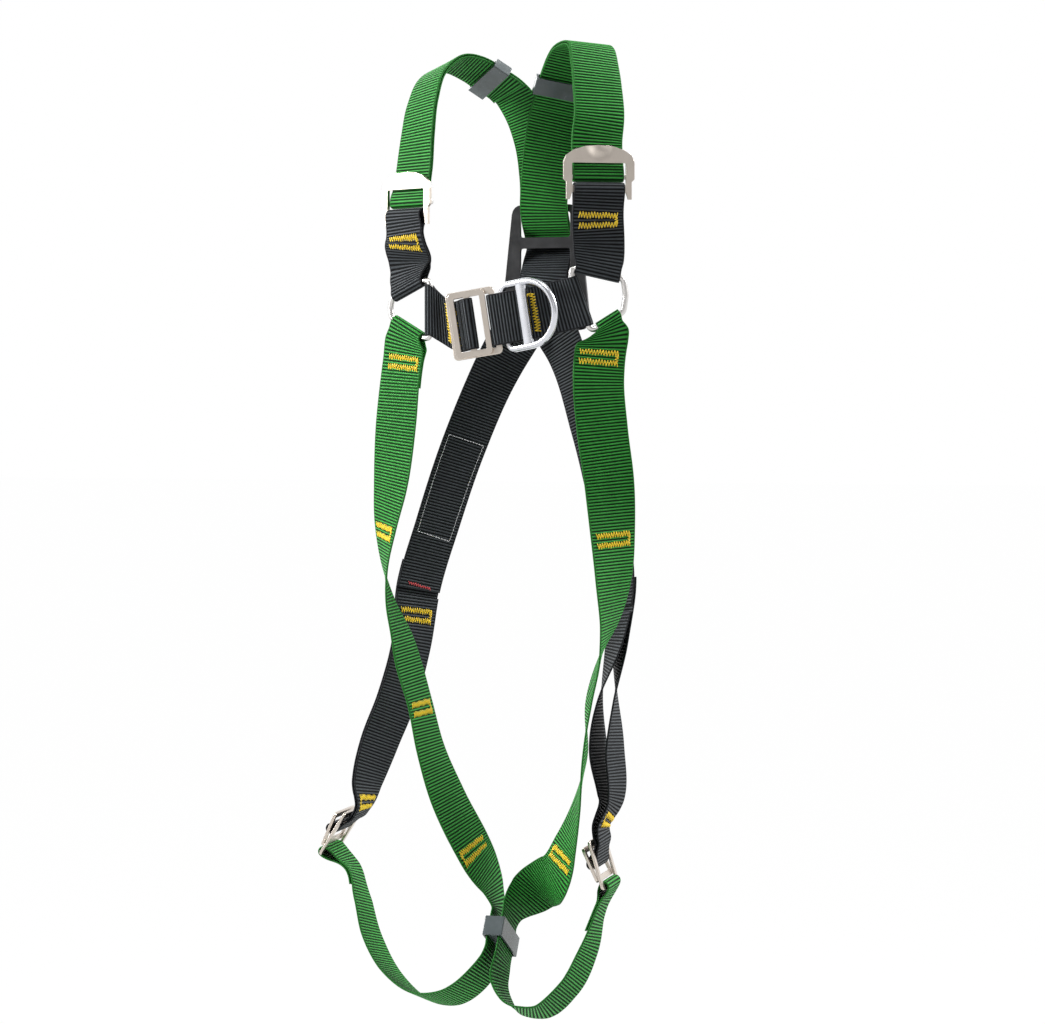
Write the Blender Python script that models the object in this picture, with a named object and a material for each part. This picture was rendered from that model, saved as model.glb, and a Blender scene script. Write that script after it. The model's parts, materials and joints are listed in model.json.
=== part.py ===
# Full-body fall-arrest harness: green and black webbing, steel rings and buckles,
# a moulded back plate.  The harness hangs as if worn, front towards -Y, up +Z.
# The wearer's left side is +X.  All sizes below are millimetres.
import bpy
from math import acos, atan2, ceil, cos, degrees, hypot, pi, radians, sin, tan
from mathutils import Matrix, Vector
from mathutils.geometry import tessellate_polygon

MM = 0.001

# Fits
FIT_GAP = 0.3
SIDE_PLAY = 1.3
KEEPER_PLAY = 1.0

# Webbing, gathered to less than its width where it turns round a side ring
WEB_WIDTH = 45.0
GATHER_EASE = 15.0
WEB_THICK = 2.0
WEB_STEP = 6.5
FOLD_STEPS = 8
FOLD_EASE = 15.0
FOLD_FREE = 1.0
SHORT_EASE = 12.0
TONGUE_EASE = 10.0
CATCH_EASE = 18.0
RING_EASE = 13.0
BUCKLE_FREE = 2.0
SQUARE_AFTER = 40.0
SEWN_TAIL = 52.0

# Steel stock
PLATE_THICK = 2.5
FRAME_THICK = 3.0
SIDE_WIRE = 5.2
RING_WIRE = 6.0
BACK_WIRE = 5.0
SLIDE_BAR = 4.4
WIRE_SIDES = 8

# Side rings: a trapezium of wire with its long upright side towards the middle
SIDE_RING_UPRIGHT = 58.0
SIDE_RING_BULGE = 2.0
SIDE_RING_CORNER = 3.5
SIDE_RING_FOLD_EDGE = 3.0
SIDE_RING_EASE = 28.0
SIDE_RING_YAW = 20.0
LEFT_RING_AT = (75.8, -107.6, -38.0)
LEFT_RING_REACH = 28.5
LEFT_RING_TOP_DROP = 11.0
LEFT_RING_FOOT_RISE = 18.0
LEFT_RING_LEAN = 19.0
LEFT_CHEST_DROP = 2.0
LEFT_TOP_GATHER = 40.0
LEFT_FOOT_GATHER = 23.0
RIGHT_RING_AT = (-70.0, -114.0, -46.0)
RIGHT_RING_REACH = 44.0
RIGHT_RING_TOP_DROP = 18.0
RIGHT_RING_FOOT_RISE = 22.0
RIGHT_RING_LEAN = 0.0
RIGHT_CHEST_DROP = 0.3
RIGHT_TOP_GATHER = 36.0
RIGHT_FOOT_GATHER = 36.0

# Adjuster frames, measured from the sliding bar at rest
ADJUSTER_CROWN = 27.5
ADJUSTER_SHOULDER = 13.0
ADJUSTER_STEP = 2.0
ADJUSTER_WINDOW_TOP = 12.0
ADJUSTER_FOOT_BAR = 6.0
ADJUSTER_FOOT_AT = -10.5
ADJUSTER_LEG_FOOT = -19.5
ADJUSTER_LEG_TAPER = 2.0
ADJUSTER_LEG = 5.0
ADJUSTER_EAR = 2.5
ADJUSTER_LEAN = 10.0
ADJUSTER_CROWN_STEPS = 4
BAR_TRAVEL = 3.0
BAR_RUN_OUT = 1.5
STRAP_LINES_UP = (30.0, 14.0, 0.0)
LEFT_ADJUSTER_AT = (82.3, -108.0, 67.5)
RIGHT_ADJUSTER_AT = (-91.0, -108.0, 48.5)
ADJUSTER_YAW = 28.0

# Pass-through buckles
BUCKLE_BAR = 5.0
BUCKLE_RAIL = 5.0
TONGUE_LENGTH = 33.0
TONGUE_ROCK = 8.0
CATCH_RAIL = 6.0
CATCH_NEAR = 21.0
CATCH_BAR_AT = 22.0
BUCKLE_CORNER = 4.0
APPROACH_LEAD = 1.75
APPROACH_DROP = 2.0
CHEST_BUCKLE_AT = (-29.0, -120.0, -59.0)
CHEST_BUCKLE_LEAN = 9.0
RIGHT_LEG_BUCKLE_AT = (-173.0, -64.0, -516.0)
RIGHT_LEG_BUCKLE_LEAN = -32.0
LEFT_LEG_BUCKLE_AT = (73.0, -60.0, -534.0)
LEFT_LEG_BUCKLE_LEAN = 17.0
LEG_BUCKLE_YAW = 93.0

# Front attachment ring: a webbing slot and a bow on one forged piece
FRONT_RING_FROM_CATCH = 9.5
FRONT_RING_PAST = 4.2
CHEST_STRAP_LINES_UP = 24.7
FRONT_RING_SLOT = 21.0
FRONT_RING_STRAIGHT = 5.0
FRONT_RING_BAR = 9.0
FRONT_RING_BAR_THICK = 5.0
FRONT_RING_LIFT = 20.0
RING_SIDE_PLAY = 2.5
RING_CORNER = 6.0

# Back plate and its ring
BACK_PLATE_THICK = 4.0
BACK_PLATE_TOP = 52.0
BACK_PLATE_FOOT = -62.0
BACK_PLATE_TOP_HALF = 31.0
BACK_PLATE_FOOT_HALF = 43.0
BACK_PLATE_CORNER = 9.0
CROSSBAR_TOP = 22.5
CROSSBAR_FOOT = 12.5
TOP_WINDOW_TOP = 45.5
FOOT_WINDOW_FOOT = -17.5
BACK_RING_STRAIGHT = 24.0
TOP_PASS_RISE = 8.0
FOOT_PASS_DROP = 11.0
PASS_MARGIN = 3.0

# Plastic keepers
KEEPER_WALL = 1.8
KEEPER_LENGTH = 16.0
CROTCH_KEEPER_LENGTH = 18.0
CROTCH_AT = (-14.0, -85.0, -603.0)
CROTCH_YAW = 90.0
CROTCH_TILT = -32.0
CROTCH_RUN = 20.0

# Places along the straps, measured along each strap
LEFT_KEEPER_ALONG = 151.0
RIGHT_KEEPER_ALONG = 172.0
TAIL_PAST_KEEPER = 22.0
HIP_JOIN_ALONG = 356.0
HIP_JOIN_SLIT = 6.0
HIP_JOIN_LAP = 24.0
LEG_TAIL = 46.0
TAIL_GAP = 4.0
LEFT_THIGH_BELLY = 7.0

# Colours
GREEN = (0.016, 0.150, 0.022)
BLACK = (0.016, 0.017, 0.020)
PLASTIC = (0.014, 0.014, 0.016)
KEEPER_GREY = (0.045, 0.048, 0.055)
STEEL = (0.62, 0.58, 0.54)
BRIGHT_STEEL = (0.70, 0.71, 0.73)

HALF_WEB = WEB_WIDTH / 2
LAYER = (WEB_THICK + FIT_GAP) / 2
UP = Vector((0, 0, 1))

for leftover in list(bpy.data.objects):
    bpy.data.objects.remove(leftover, do_unlink=True)


def fold_radius(bar_half):
    """Middle of webbing folded round a bar of the given half size."""
    return bar_half + FIT_GAP + WEB_THICK / 2


def flat_bar_half(width, thick):
    return hypot(width, thick) / 2


def wire_half(wire):
    """Half the corner-to-corner size of faceted wire, measured across flats."""
    return wire / 2 / cos(pi / WIRE_SIDES)


def finish(name, colour, roughness, metallic):
    material = bpy.data.materials.new(name)
    material.use_nodes = True
    shader = material.node_tree.nodes["Principled BSDF"]
    shader.inputs["Base Color"].default_value = (*colour, 1)
    shader.inputs["Roughness"].default_value = roughness
    shader.inputs["Metallic"].default_value = metallic
    material.diffuse_color = (*colour, 1)
    return material


FINISHES = {
    "green": (GREEN, 0.55, 0.0),
    "black": (BLACK, 0.6, 0.0),
    "plastic": (PLASTIC, 0.4, 0.0),
    "keeper": (KEEPER_GREY, 0.4, 0.0),
    "steel": (STEEL, 0.35, 1.0),
    "bright": (BRIGHT_STEEL, 0.25, 1.0),
}


def add_piece(name, points, faces, place, look, smooth=False):
    """One closed mesh, built round its own origin and set down by place."""
    mesh = bpy.data.meshes.new(name)
    mesh.from_pydata([Vector(point) * MM for point in points], [], faces)
    mesh.validate()
    if smooth:
        mesh.shade_smooth()
        mesh.set_sharp_from_angle(angle=radians(50))
    mesh.materials.append(finish(name, *FINISHES[look]))
    piece = bpy.data.objects.new(name, mesh)
    origin = place.to_translation() * MM
    piece.matrix_world = Matrix.Translation(origin) @ place.to_3x3().to_4x4()
    bpy.context.collection.objects.link(piece)
    return piece


def placing(origin, along, across):
    """Local X along, local Y across, local Z square to both."""
    x_axis = Vector(along).normalized()
    z_axis = x_axis.cross(Vector(across)).normalized()
    y_axis = z_axis.cross(x_axis)
    turn = Matrix((x_axis, y_axis, z_axis)).transposed().to_4x4()
    return Matrix.Translation(Vector(origin)) @ turn


def reach(place, along=0.0, across=0.0, out=0.0):
    return place @ Vector((along, across, out))


# Flat plates with windows

def rounded_box(x_low, x_high, y_low, y_high, corner, steps=4):
    """Outline of a box with round corners, anticlockwise."""
    centres = (
        (x_high - corner, y_high - corner, 0),
        (x_low + corner, y_high - corner, 90),
        (x_low + corner, y_low + corner, 180),
        (x_high - corner, y_low + corner, 270),
    )
    outline = []
    for x, y, start in centres:
        for step in range(steps + 1):
            angle = radians(start + 90 * step / steps)
            outline.append((x + corner * cos(angle), y + corner * sin(angle)))
    return outline


def rounded_corners(corners, radius, steps=4):
    """Outline through the corners of a convex shape, each cut by an arc."""
    outline = []
    for index, corner in enumerate(corners):
        here = Vector(corner)
        to_last = (Vector(corners[index - 1]) - here).normalized()
        to_next = (Vector(corners[(index + 1) % len(corners)]) - here).normalized()
        half = acos(to_last.dot(to_next)) / 2
        centre = here + (to_last + to_next).normalized() * radius / sin(half)
        first = here + to_last * radius / tan(half) - centre
        last = here + to_next * radius / tan(half) - centre
        start = atan2(first.y, first.x)
        sweep = (atan2(last.y, last.x) - start + pi) % (2 * pi) - pi
        for step in range(steps + 1):
            angle = start + sweep * step / steps
            outline.append((centre.x + radius * cos(angle), centre.y + radius * sin(angle)))
    return outline


def plate_mesh(outline, windows, low, high):
    """Points and faces of a plate between two heights, with through windows."""
    loops = [outline] + [list(reversed(window)) for window in windows]
    flat = [Vector((x, y, 0)) for loop in loops for x, y in loop]
    count = len(flat)
    points = [(p.x, p.y, low) for p in flat] + [(p.x, p.y, high) for p in flat]
    faces = []
    for a, b, c in tessellate_polygon([[Vector((x, y, 0)) for x, y in loop] for loop in loops]):
        if (flat[b] - flat[a]).cross(flat[c] - flat[a]).z < 0:
            b, c = c, b
        faces.append((a + count, b + count, c + count))
        faces.append((a, c, b))
    first = 0
    for loop in loops:
        for index in range(len(loop)):
            a = first + index
            b = first + (index + 1) % len(loop)
            faces.append((a, b, b + count, a + count))
        first += len(loop)
    return points, faces


# Wire bent to a closed loop

def wire_mesh(path, wire):
    """Faceted wire along a flat closed path, with flats front and back."""
    half = wire_half(wire)
    count = len(path)
    points = []
    faces = []
    for index in range(count):
        here = Vector((*path[index], 0))
        last = Vector((*path[index - 1], 0))
        after = Vector((*path[(index + 1) % count], 0))
        side = ((here - last).normalized() + (after - here).normalized()).normalized()
        spread = 1 / max(0.2, side.dot((after - here).normalized()))
        outwards = side.cross(UP) * spread
        for facet in range(WIRE_SIDES):
            angle = 2 * pi * (facet + 0.5) / WIRE_SIDES
            points.append(here + outwards * half * cos(angle) + UP * half * sin(angle))
    for index in range(count):
        ahead = (index + 1) % count
        for facet in range(WIRE_SIDES):
            beside = (facet + 1) % WIRE_SIDES
            faces.append((
                index * WIRE_SIDES + facet,
                ahead * WIRE_SIDES + facet,
                ahead * WIRE_SIDES + beside,
                index * WIRE_SIDES + beside,
            ))
    return points, faces


def bow_path(left, straight, half_height, corner, steps=14):
    """A D on its side: upright bar at left, straight rails, a round bow at right."""
    path = []
    for step in range(steps + 1):
        angle = radians(-90 + 180 * step / steps)
        path.append((left + straight + half_height * cos(angle), half_height * sin(angle)))
    for start, y in ((90, half_height - corner), (180, corner - half_height)):
        for step in range(5):
            angle = radians(start + 90 * step / 4)
            path.append((left + corner + corner * cos(angle), y + corner * sin(angle)))
    return path


# Webbing

class Spine:
    """A smooth line through route points that carries the webbing's width direction.

    A route point is x, y, z, then the yaw and the tilt of the width in degrees.
    """

    def __init__(self, route, stops=(), short=False, fine=24):
        self.stops = stops
        self.short = short
        knots = [tuple(map(float, point)) for point in route]
        gaps = [
            (Vector(knots[i + 1][:3]) - Vector(knots[i][:3])).length
            for i in range(len(knots) - 1)
        ]
        slopes = []
        for i in range(len(knots)):
            before = max(i - 1, 0)
            after = min(i + 1, len(knots) - 1)
            if before == i or after == i:
                gap = gaps[min(before, len(gaps) - 1)]
                slopes.append([(b - a) / gap for a, b in zip(knots[before], knots[after])])
                continue
            near, far = gaps[i - 1], gaps[i]
            slopes.append([
                ((p - o) / near * far + (q - p) / far * near) / (near + far)
                for o, p, q in zip(knots[before], knots[i], knots[after])
            ])
        samples = []
        for i, gap in enumerate(gaps):
            for step in range(fine + (i == len(gaps) - 1)):
                u = step / fine
                keep = 2 * u ** 3 - 3 * u ** 2 + 1
                lead = (u ** 3 - 2 * u ** 2 + u) * gap
                trail = (u ** 3 - u ** 2) * gap
                samples.append([
                    keep * p + lead * m + (1 - keep) * q + trail * n
                    for p, m, q, n in zip(knots[i], slopes[i], knots[i + 1], slopes[i + 1])
                ])
        self.places = [Vector(sample[:3]) for sample in samples]
        self.turns = [sample[3:] for sample in samples]
        self.marks = [0.0]
        for a, b in zip(self.places, self.places[1:]):
            self.marks.append(self.marks[-1] + (b - a).length)
        self.length = self.marks[-1]

    def at(self, along):
        """Middle, direction of travel, width direction and outward side."""
        along = min(max(along, 0.0), self.length)
        i = 0
        while i < len(self.marks) - 2 and self.marks[i + 1] < along:
            i += 1
        share = (along - self.marks[i]) / (self.marks[i + 1] - self.marks[i])
        middle = self.places[i].lerp(self.places[i + 1], share)
        low, high = max(i - 1, 0), min(i + 2, len(self.places) - 1)
        travel = (self.places[high] - self.places[low]).normalized()
        yaw, tilt = (radians(a + (b - a) * share) for a, b in zip(self.turns[i], self.turns[i + 1]))
        given = Vector((cos(yaw) * cos(tilt), sin(yaw) * cos(tilt), sin(tilt)))
        square = (given - travel * given.dot(travel)).normalized()
        across = given.lerp(square, self.squareness(along)).normalized()
        return middle, travel, across, travel.cross(across).normalized()

    def squareness(self, along):
        """0 at each end, where the width follows a bar; 1 where the strap runs free."""
        if self.short:
            return 0.0
        share = min(along, self.length - along, SQUARE_AFTER) / SQUARE_AFTER
        return share * share * (3 - 2 * share)

    def marks_between(self, first, last):
        """Even marks along the whole line that fall between two places on it."""
        low, high = min(first, last), max(first, last)
        step = self.length / ceil(self.length / WEB_STEP)
        count = round(self.length / step)
        kept = sorted({low, high, *(stop for stop in self.stops if low < stop < high)})
        even = [k * step for k in range(count + 1) if low < k * step < high]
        spread = [m for m in even if min(abs(m - k) for k in (*kept, *self.stops)) > step / 3]
        marks = sorted(kept + spread)
        return marks if first < last else marks[::-1]


class Fold:
    """Where a strap turns back round a bar at one end of its spine."""

    def __init__(self, radius, free=FOLD_FREE, ease=FOLD_EASE, width=WEB_WIDTH):
        self.radius = radius
        self.free = free
        self.ease = ease
        self.width = width

    def stand_off(self, distance):
        share = min(max((distance - self.free) / self.ease, 0.0), 1.0)
        share = share * share * (3 - 2 * share)
        return self.radius + (LAYER - self.radius) * share

    def spread(self, distance):
        """Share of the full width that gathered webbing has at a distance from its fold."""
        share = min(max((distance - self.free) / GATHER_EASE, 0.0), 1.0)
        share = share * share * (3 - 2 * share)
        return (self.width + (WEB_WIDTH - self.width) * share) / WEB_WIDTH


def stand_off(spine, along, start, end, belly):
    """How far each layer of a strap lies from its spine; a belly parts them after a join."""
    off = LAYER
    if belly and along > HIP_JOIN_ALONG:
        share = (along - HIP_JOIN_ALONG) / (spine.length - HIP_JOIN_ALONG)
        off += belly * sin(pi * share) ** 2
    if start:
        off = max(off, start.stand_off(along))
    if end:
        off = max(off, end.stand_off(spine.length - along))
    return off


def spread(spine, along, start, end):
    """Share of the full width at one place between two folds."""
    width = 1.0
    if start:
        width = min(width, start.spread(along))
    if end:
        width = min(width, end.spread(spine.length - along))
    return width


def layer(spine, first, last, side, start=None, end=None, belly=0.0):
    """Sections of one layer of webbing, from one mark on the spine to another."""
    sections = []
    for along in spine.marks_between(first, last):
        middle, _, across, out = spine.at(along)
        out = out * side
        off = stand_off(spine, along, start, end, belly)
        sections.append((middle + out * off, across * spread(spine, along, start, end), out, side))
    return sections


def turn(spine, fold, at_end):
    """Sections of the half turn round a bar, without its two ends."""
    along = spine.length if at_end else 0.0
    middle, travel, across, out = spine.at(along)
    away = (travel - across * travel.dot(across)).normalized() * (1 if at_end else -1)
    first = out if at_end else -out
    sections = []
    for step in range(1, FOLD_STEPS):
        angle = pi * step / FOLD_STEPS
        radial = first * cos(angle) + away * sin(angle)
        sections.append((middle + radial * fold.radius, across * fold.spread(0), radial, 1))
    return sections


def webbing(name, sections, look, closed=False):
    """A strap of webbing swept through its sections."""
    origin = sections[0][0]
    points = []
    for middle, across, out, _ in sections:
        for wide, thick in ((-1, -1), (1, -1), (1, 1), (-1, 1)):
            corner = middle + across * wide * HALF_WEB + out * thick * WEB_THICK / 2
            points.append(corner - origin)
    faces = []
    count = len(sections)
    for i in range(count if closed else count - 1):
        a = 4 * i
        b = 4 * ((i + 1) % count)
        rising = sections[i][3] > 0
        for k in range(4):
            j = (k + 1) % 4
            if rising == (k < 2):
                faces.append((a + k, a + j, b + j))
                faces.append((a + k, b + j, b + k))
            else:
                faces.append((a + k, a + j, b + k))
                faces.append((a + j, b + j, b + k))
    if not closed:
        last = 4 * (count - 1)
        faces.append((3, 2, 1, 0))
        faces.append((last, last + 1, last + 2, last + 3))
    return add_piece(name, points, faces, Matrix.Translation(origin), look, smooth=True)


# Side rings

def side_ring(name, centre, side, across, drop, rise, lean, chest_drop, gathers):
    """The ring's upright stands at centre; its bow points to the wearer's side."""
    lateral = Vector((side * cos(radians(SIDE_RING_YAW)), sin(radians(SIDE_RING_YAW)), 0))
    place = placing(centre, lateral, UP)
    half = SIDE_RING_UPRIGHT / 2
    shift = SIDE_RING_UPRIGHT * tan(radians(lean))
    foot_end, top_end = rise - half, half - drop
    corners = (
        (-shift, half),
        (0, -half),
        (across, foot_end),
        (across + SIDE_RING_BULGE, (foot_end + top_end) / 2),
        (across, top_end),
    )
    points, faces = wire_mesh(rounded_corners(corners, SIDE_RING_CORNER), SIDE_WIRE)
    add_piece(name, points, faces, place, "steel", smooth=True)
    slip = chest_drop * tan(radians(lean))
    sides = {"upright": (reach(place, slip - shift / 2, -chest_drop), 90 - lean)}
    for label, near, far in (("top", corners[0], corners[4]), ("foot", corners[1], corners[2])):
        gather = gathers[label]
        inward = (Vector(near) - Vector(far)).normalized() * (SIDE_RING_FOLD_EDGE + gather / 2)
        middle = reach(place, far[0] + inward.x, far[1] + inward.y)
        fold = Fold(fold_radius(wire_half(SIDE_WIRE)), ease=SIDE_RING_EASE, width=gather)
        sides[label] = (middle, degrees(atan2(-inward.y, -inward.x)), fold)
    return sides


left_ring = side_ring(
    "left_side_ring", LEFT_RING_AT, 1, LEFT_RING_REACH, LEFT_RING_TOP_DROP, LEFT_RING_FOOT_RISE,
    LEFT_RING_LEAN, LEFT_CHEST_DROP,
    {"top": LEFT_TOP_GATHER, "foot": LEFT_FOOT_GATHER},
)
right_ring = side_ring(
    "right_side_ring", RIGHT_RING_AT, -1, RIGHT_RING_REACH, RIGHT_RING_TOP_DROP, RIGHT_RING_FOOT_RISE,
    RIGHT_RING_LEAN, RIGHT_CHEST_DROP,
    {"top": RIGHT_TOP_GATHER, "foot": RIGHT_FOOT_GATHER},
)

# Shoulder adjusters: a stamped frame with a bar that slides behind its legs

ADJUSTER_HALF_WINDOW = HALF_WEB + SIDE_PLAY
ADJUSTER_PLANE = SLIDE_BAR / 2 / cos(pi / WIRE_SIDES) + FIT_GAP + FRAME_THICK / 2


def adjuster(side_name, bar_at, yaw):
    """Frame and bar; local X is across, local Y up, local Z to the front."""
    across = Vector((cos(radians(yaw)), sin(radians(yaw)), 0))
    place = placing(bar_at, across, UP)
    leg = ADJUSTER_HALF_WINDOW + ADJUSTER_LEG
    ear = leg + ADJUSTER_EAR
    foot = ADJUSTER_FOOT_AT - ADJUSTER_FOOT_BAR / 2
    rise = ADJUSTER_CROWN - ADJUSTER_SHOULDER
    right_half = [
        (ADJUSTER_HALF_WINDOW, foot),
        (ADJUSTER_HALF_WINDOW + ADJUSTER_LEG_TAPER, ADJUSTER_LEG_FOOT),
        (leg, ADJUSTER_LEG_FOOT),
        (leg, -ADJUSTER_STEP - ADJUSTER_EAR),
        (ear, -ADJUSTER_STEP),
    ]
    for step in range(ADJUSTER_CROWN_STEPS):
        angle = pi / 2 * step / ADJUSTER_CROWN_STEPS
        right_half.append((ear * cos(angle), ADJUSTER_SHOULDER + rise * sin(angle)))
    left_half = [(-x, y) for x, y in reversed(right_half)]
    outline = right_half + [(0, ADJUSTER_CROWN)] + left_half
    window = rounded_box(
        -ADJUSTER_HALF_WINDOW, ADJUSTER_HALF_WINDOW,
        ADJUSTER_FOOT_AT + ADJUSTER_FOOT_BAR / 2, ADJUSTER_WINDOW_TOP, 1.0, 2,
    )
    points, faces = plate_mesh(
        outline, [window],
        ADJUSTER_PLANE - FRAME_THICK / 2, ADJUSTER_PLANE + FRAME_THICK / 2,
    )
    add_piece(side_name + "_adjuster_frame", points, faces, place, "steel")
    bar_outline = [
        (wire_half(SLIDE_BAR) * cos(2 * pi * (k + 0.5) / WIRE_SIDES),
         wire_half(SLIDE_BAR) * sin(2 * pi * (k + 0.5) / WIRE_SIDES))
        for k in range(WIRE_SIDES)
    ]
    bar_points, bar_faces = plate_mesh(bar_outline, [], -leg, leg)
    bar_place = placing(bar_at, UP, place.to_3x3().col[2])
    add_piece(side_name + "_adjuster_bar", bar_points, bar_faces, bar_place, "steel", smooth=True)
    return place


left_adjuster = adjuster("left", LEFT_ADJUSTER_AT, ADJUSTER_YAW)
right_adjuster = adjuster("right", RIGHT_ADJUSTER_AT, -ADJUSTER_YAW)

# Pass-through buckles: a tongue plate rocks on its middle bar, in front of a catch frame

TONGUE_HALF_WINDOW = HALF_WEB + SIDE_PLAY
CATCH_HALF_WINDOW = HALF_WEB + SIDE_PLAY
ROCK = radians(TONGUE_ROCK)
TONGUE_OUT = (
    PLATE_THICK / 2 + FIT_GAP
    + TONGUE_LENGTH / 2 * sin(ROCK) + PLATE_THICK / 2 * cos(ROCK)
)
BUCKLE_FOLD = fold_radius(flat_bar_half(BUCKLE_BAR, PLATE_THICK))


def buckle(name, centre, along, across):
    """Local X runs from the tongue's strap to the catch's strap, local Z out."""
    place = placing(centre, along, across)
    half = TONGUE_LENGTH / 2
    wide = TONGUE_HALF_WINDOW + BUCKLE_RAIL
    outline = rounded_box(-half, half, -wide, wide, BUCKLE_CORNER)
    windows = [
        rounded_box(low, high, -TONGUE_HALF_WINDOW, TONGUE_HALF_WINDOW, 1.0, 2)
        for low, high in (
            (BUCKLE_RAIL - half, -BUCKLE_BAR / 2),
            (BUCKLE_BAR / 2, half - BUCKLE_RAIL),
        )
    ]
    points, faces = plate_mesh(outline, windows, -PLATE_THICK / 2, PLATE_THICK / 2)
    tongue_place = (
        Matrix.Translation(reach(place, 0, 0, TONGUE_OUT))
        @ place.to_3x3().to_4x4()
        @ Matrix.Rotation(ROCK, 4, "Y")
    )
    add_piece(name + "_tongue", points, faces, tongue_place, "steel")
    wide = CATCH_HALF_WINDOW + CATCH_RAIL
    far = CATCH_BAR_AT + BUCKLE_BAR / 2
    outline = rounded_box(-CATCH_NEAR, far, -wide, wide, BUCKLE_CORNER)
    window = rounded_box(
        CATCH_RAIL - CATCH_NEAR, CATCH_BAR_AT - BUCKLE_BAR / 2,
        -CATCH_HALF_WINDOW, CATCH_HALF_WINDOW, 1.0, 2,
    )
    points, faces = plate_mesh(outline, [window], -PLATE_THICK / 2, PLATE_THICK / 2)
    add_piece(name + "_catch", points, faces, place, "steel")
    return place


def tongue_approach(place):
    """Points that bring a strap from behind the catch to the tongue's bar."""
    near = CATCH_RAIL - CATCH_NEAR
    behind = -PLATE_THICK / 2 - FIT_GAP - LAYER - WEB_THICK
    slope = (TONGUE_OUT - behind) / -near
    return [
        reach(place, near * APPROACH_LEAD, 0, behind - slope * APPROACH_DROP),
        reach(place, near, 0, behind),
        reach(place, near / 2, 0, (behind + TONGUE_OUT) / 2),
        reach(place, 0, 0, TONGUE_OUT),
    ]


chest_lean = radians(CHEST_BUCKLE_LEAN)
chest_buckle = buckle(
    "chest_buckle", CHEST_BUCKLE_AT,
    (cos(chest_lean), 0, sin(chest_lean)), (-sin(chest_lean), 0, cos(chest_lean)),
)


def leg_buckle(side_name, centre, lean):
    """A buckle on its edge beside the thigh, bars level, tongue towards the wearer's right."""
    yaw = radians(LEG_BUCKLE_YAW)
    across = -Vector((cos(yaw), sin(yaw), 0))
    level = UP.cross(across)
    down = level * sin(radians(lean)) - UP * cos(radians(lean))
    return buckle(side_name + "_leg_buckle", centre, down, across)


right_leg_buckle = leg_buckle("right", RIGHT_LEG_BUCKLE_AT, RIGHT_LEG_BUCKLE_LEAN)
left_leg_buckle = leg_buckle("left", LEFT_LEG_BUCKLE_AT, LEFT_LEG_BUCKLE_LEAN)

# Front attachment ring, hinged on the bar inside the chest strap's fold

RING_HALF_HEIGHT = HALF_WEB + RING_SIDE_PLAY + RING_WIRE / 2
lift = radians(FRONT_RING_LIFT)
front_ring_hinge = reach(chest_buckle, CATCH_BAR_AT + FRONT_RING_FROM_CATCH)
front_ring_place = (
    Matrix.Translation(front_ring_hinge)
    @ chest_buckle.to_3x3().to_4x4()
    @ Matrix.Rotation(-lift, 4, "Y")
)
bow = bow_path(0, FRONT_RING_SLOT + FRONT_RING_STRAIGHT, RING_HALF_HEIGHT, RING_CORNER)
bow_points, bow_faces = wire_mesh(bow, RING_WIRE)
front_ring = add_piece("front_d_ring", bow_points, bow_faces, front_ring_place, "bright", smooth=True)
bar_outline = rounded_box(
    FRONT_RING_SLOT - FRONT_RING_BAR / 2, FRONT_RING_SLOT + FRONT_RING_BAR / 2,
    -RING_HALF_HEIGHT, RING_HALF_HEIGHT, 1.0, 2,
)
bar_points, bar_faces = plate_mesh(
    bar_outline, [], -FRONT_RING_BAR_THICK / 2, FRONT_RING_BAR_THICK / 2,
)
slot_bar = add_piece("slot_bar", bar_points, bar_faces, front_ring_place, "bright")
slot_bar.hide_render = True
slot_bar.display_type = "WIRE"
joined = front_ring.modifiers.new("slot bar", "BOOLEAN")
joined.operation = "UNION"
joined.object = slot_bar

# Back plate with two windows either side of a crossbar, and the ring behind it

WINDOW_HALF = HALF_WEB + SIDE_PLAY
plate_place = placing((0, 0, 0), (1, 0, 0), UP)
plate_outline = rounded_corners(
    (
        (BACK_PLATE_TOP_HALF, BACK_PLATE_TOP),
        (-BACK_PLATE_TOP_HALF, BACK_PLATE_TOP),
        (-BACK_PLATE_FOOT_HALF, BACK_PLATE_FOOT),
        (BACK_PLATE_FOOT_HALF, BACK_PLATE_FOOT),
    ),
    BACK_PLATE_CORNER,
)
plate_windows = [
    rounded_box(-WINDOW_HALF, WINDOW_HALF, low, high, 2.0, 2)
    for low, high in ((CROSSBAR_TOP, TOP_WINDOW_TOP), (FOOT_WINDOW_FOOT, CROSSBAR_FOOT))
]
points, faces = plate_mesh(plate_outline, plate_windows, -BACK_PLATE_THICK, 0)
add_piece("dorsal_plate", points, faces, plate_place, "plastic")

BACK_RING_HALF = HALF_WEB + RING_SIDE_PLAY + BACK_WIRE / 2
back_bar_depth = BACK_PLATE_THICK + FIT_GAP + BACK_WIRE / 2
back_bar_height = (CROSSBAR_TOP + CROSSBAR_FOOT) / 2
back_ring_place = placing((0, back_bar_depth, back_bar_height), (0, 0, -1), (1, 0, 0))
ring_points, ring_faces = wire_mesh(
    bow_path(0, BACK_RING_STRAIGHT, BACK_RING_HALF, RING_CORNER), BACK_WIRE,
)
add_piece("dorsal_d_ring", ring_points, ring_faces, back_ring_place, "steel", smooth=True)

# Shoulder straps: out of the back plate, over the shoulder, round the sliding bar and back

STACK = 2 * LAYER
behind_bar = back_bar_depth + wire_half(BACK_WIRE) + FIT_GAP + WEB_THICK / 2
before_plate = -FIT_GAP - WEB_THICK / 2


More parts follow.
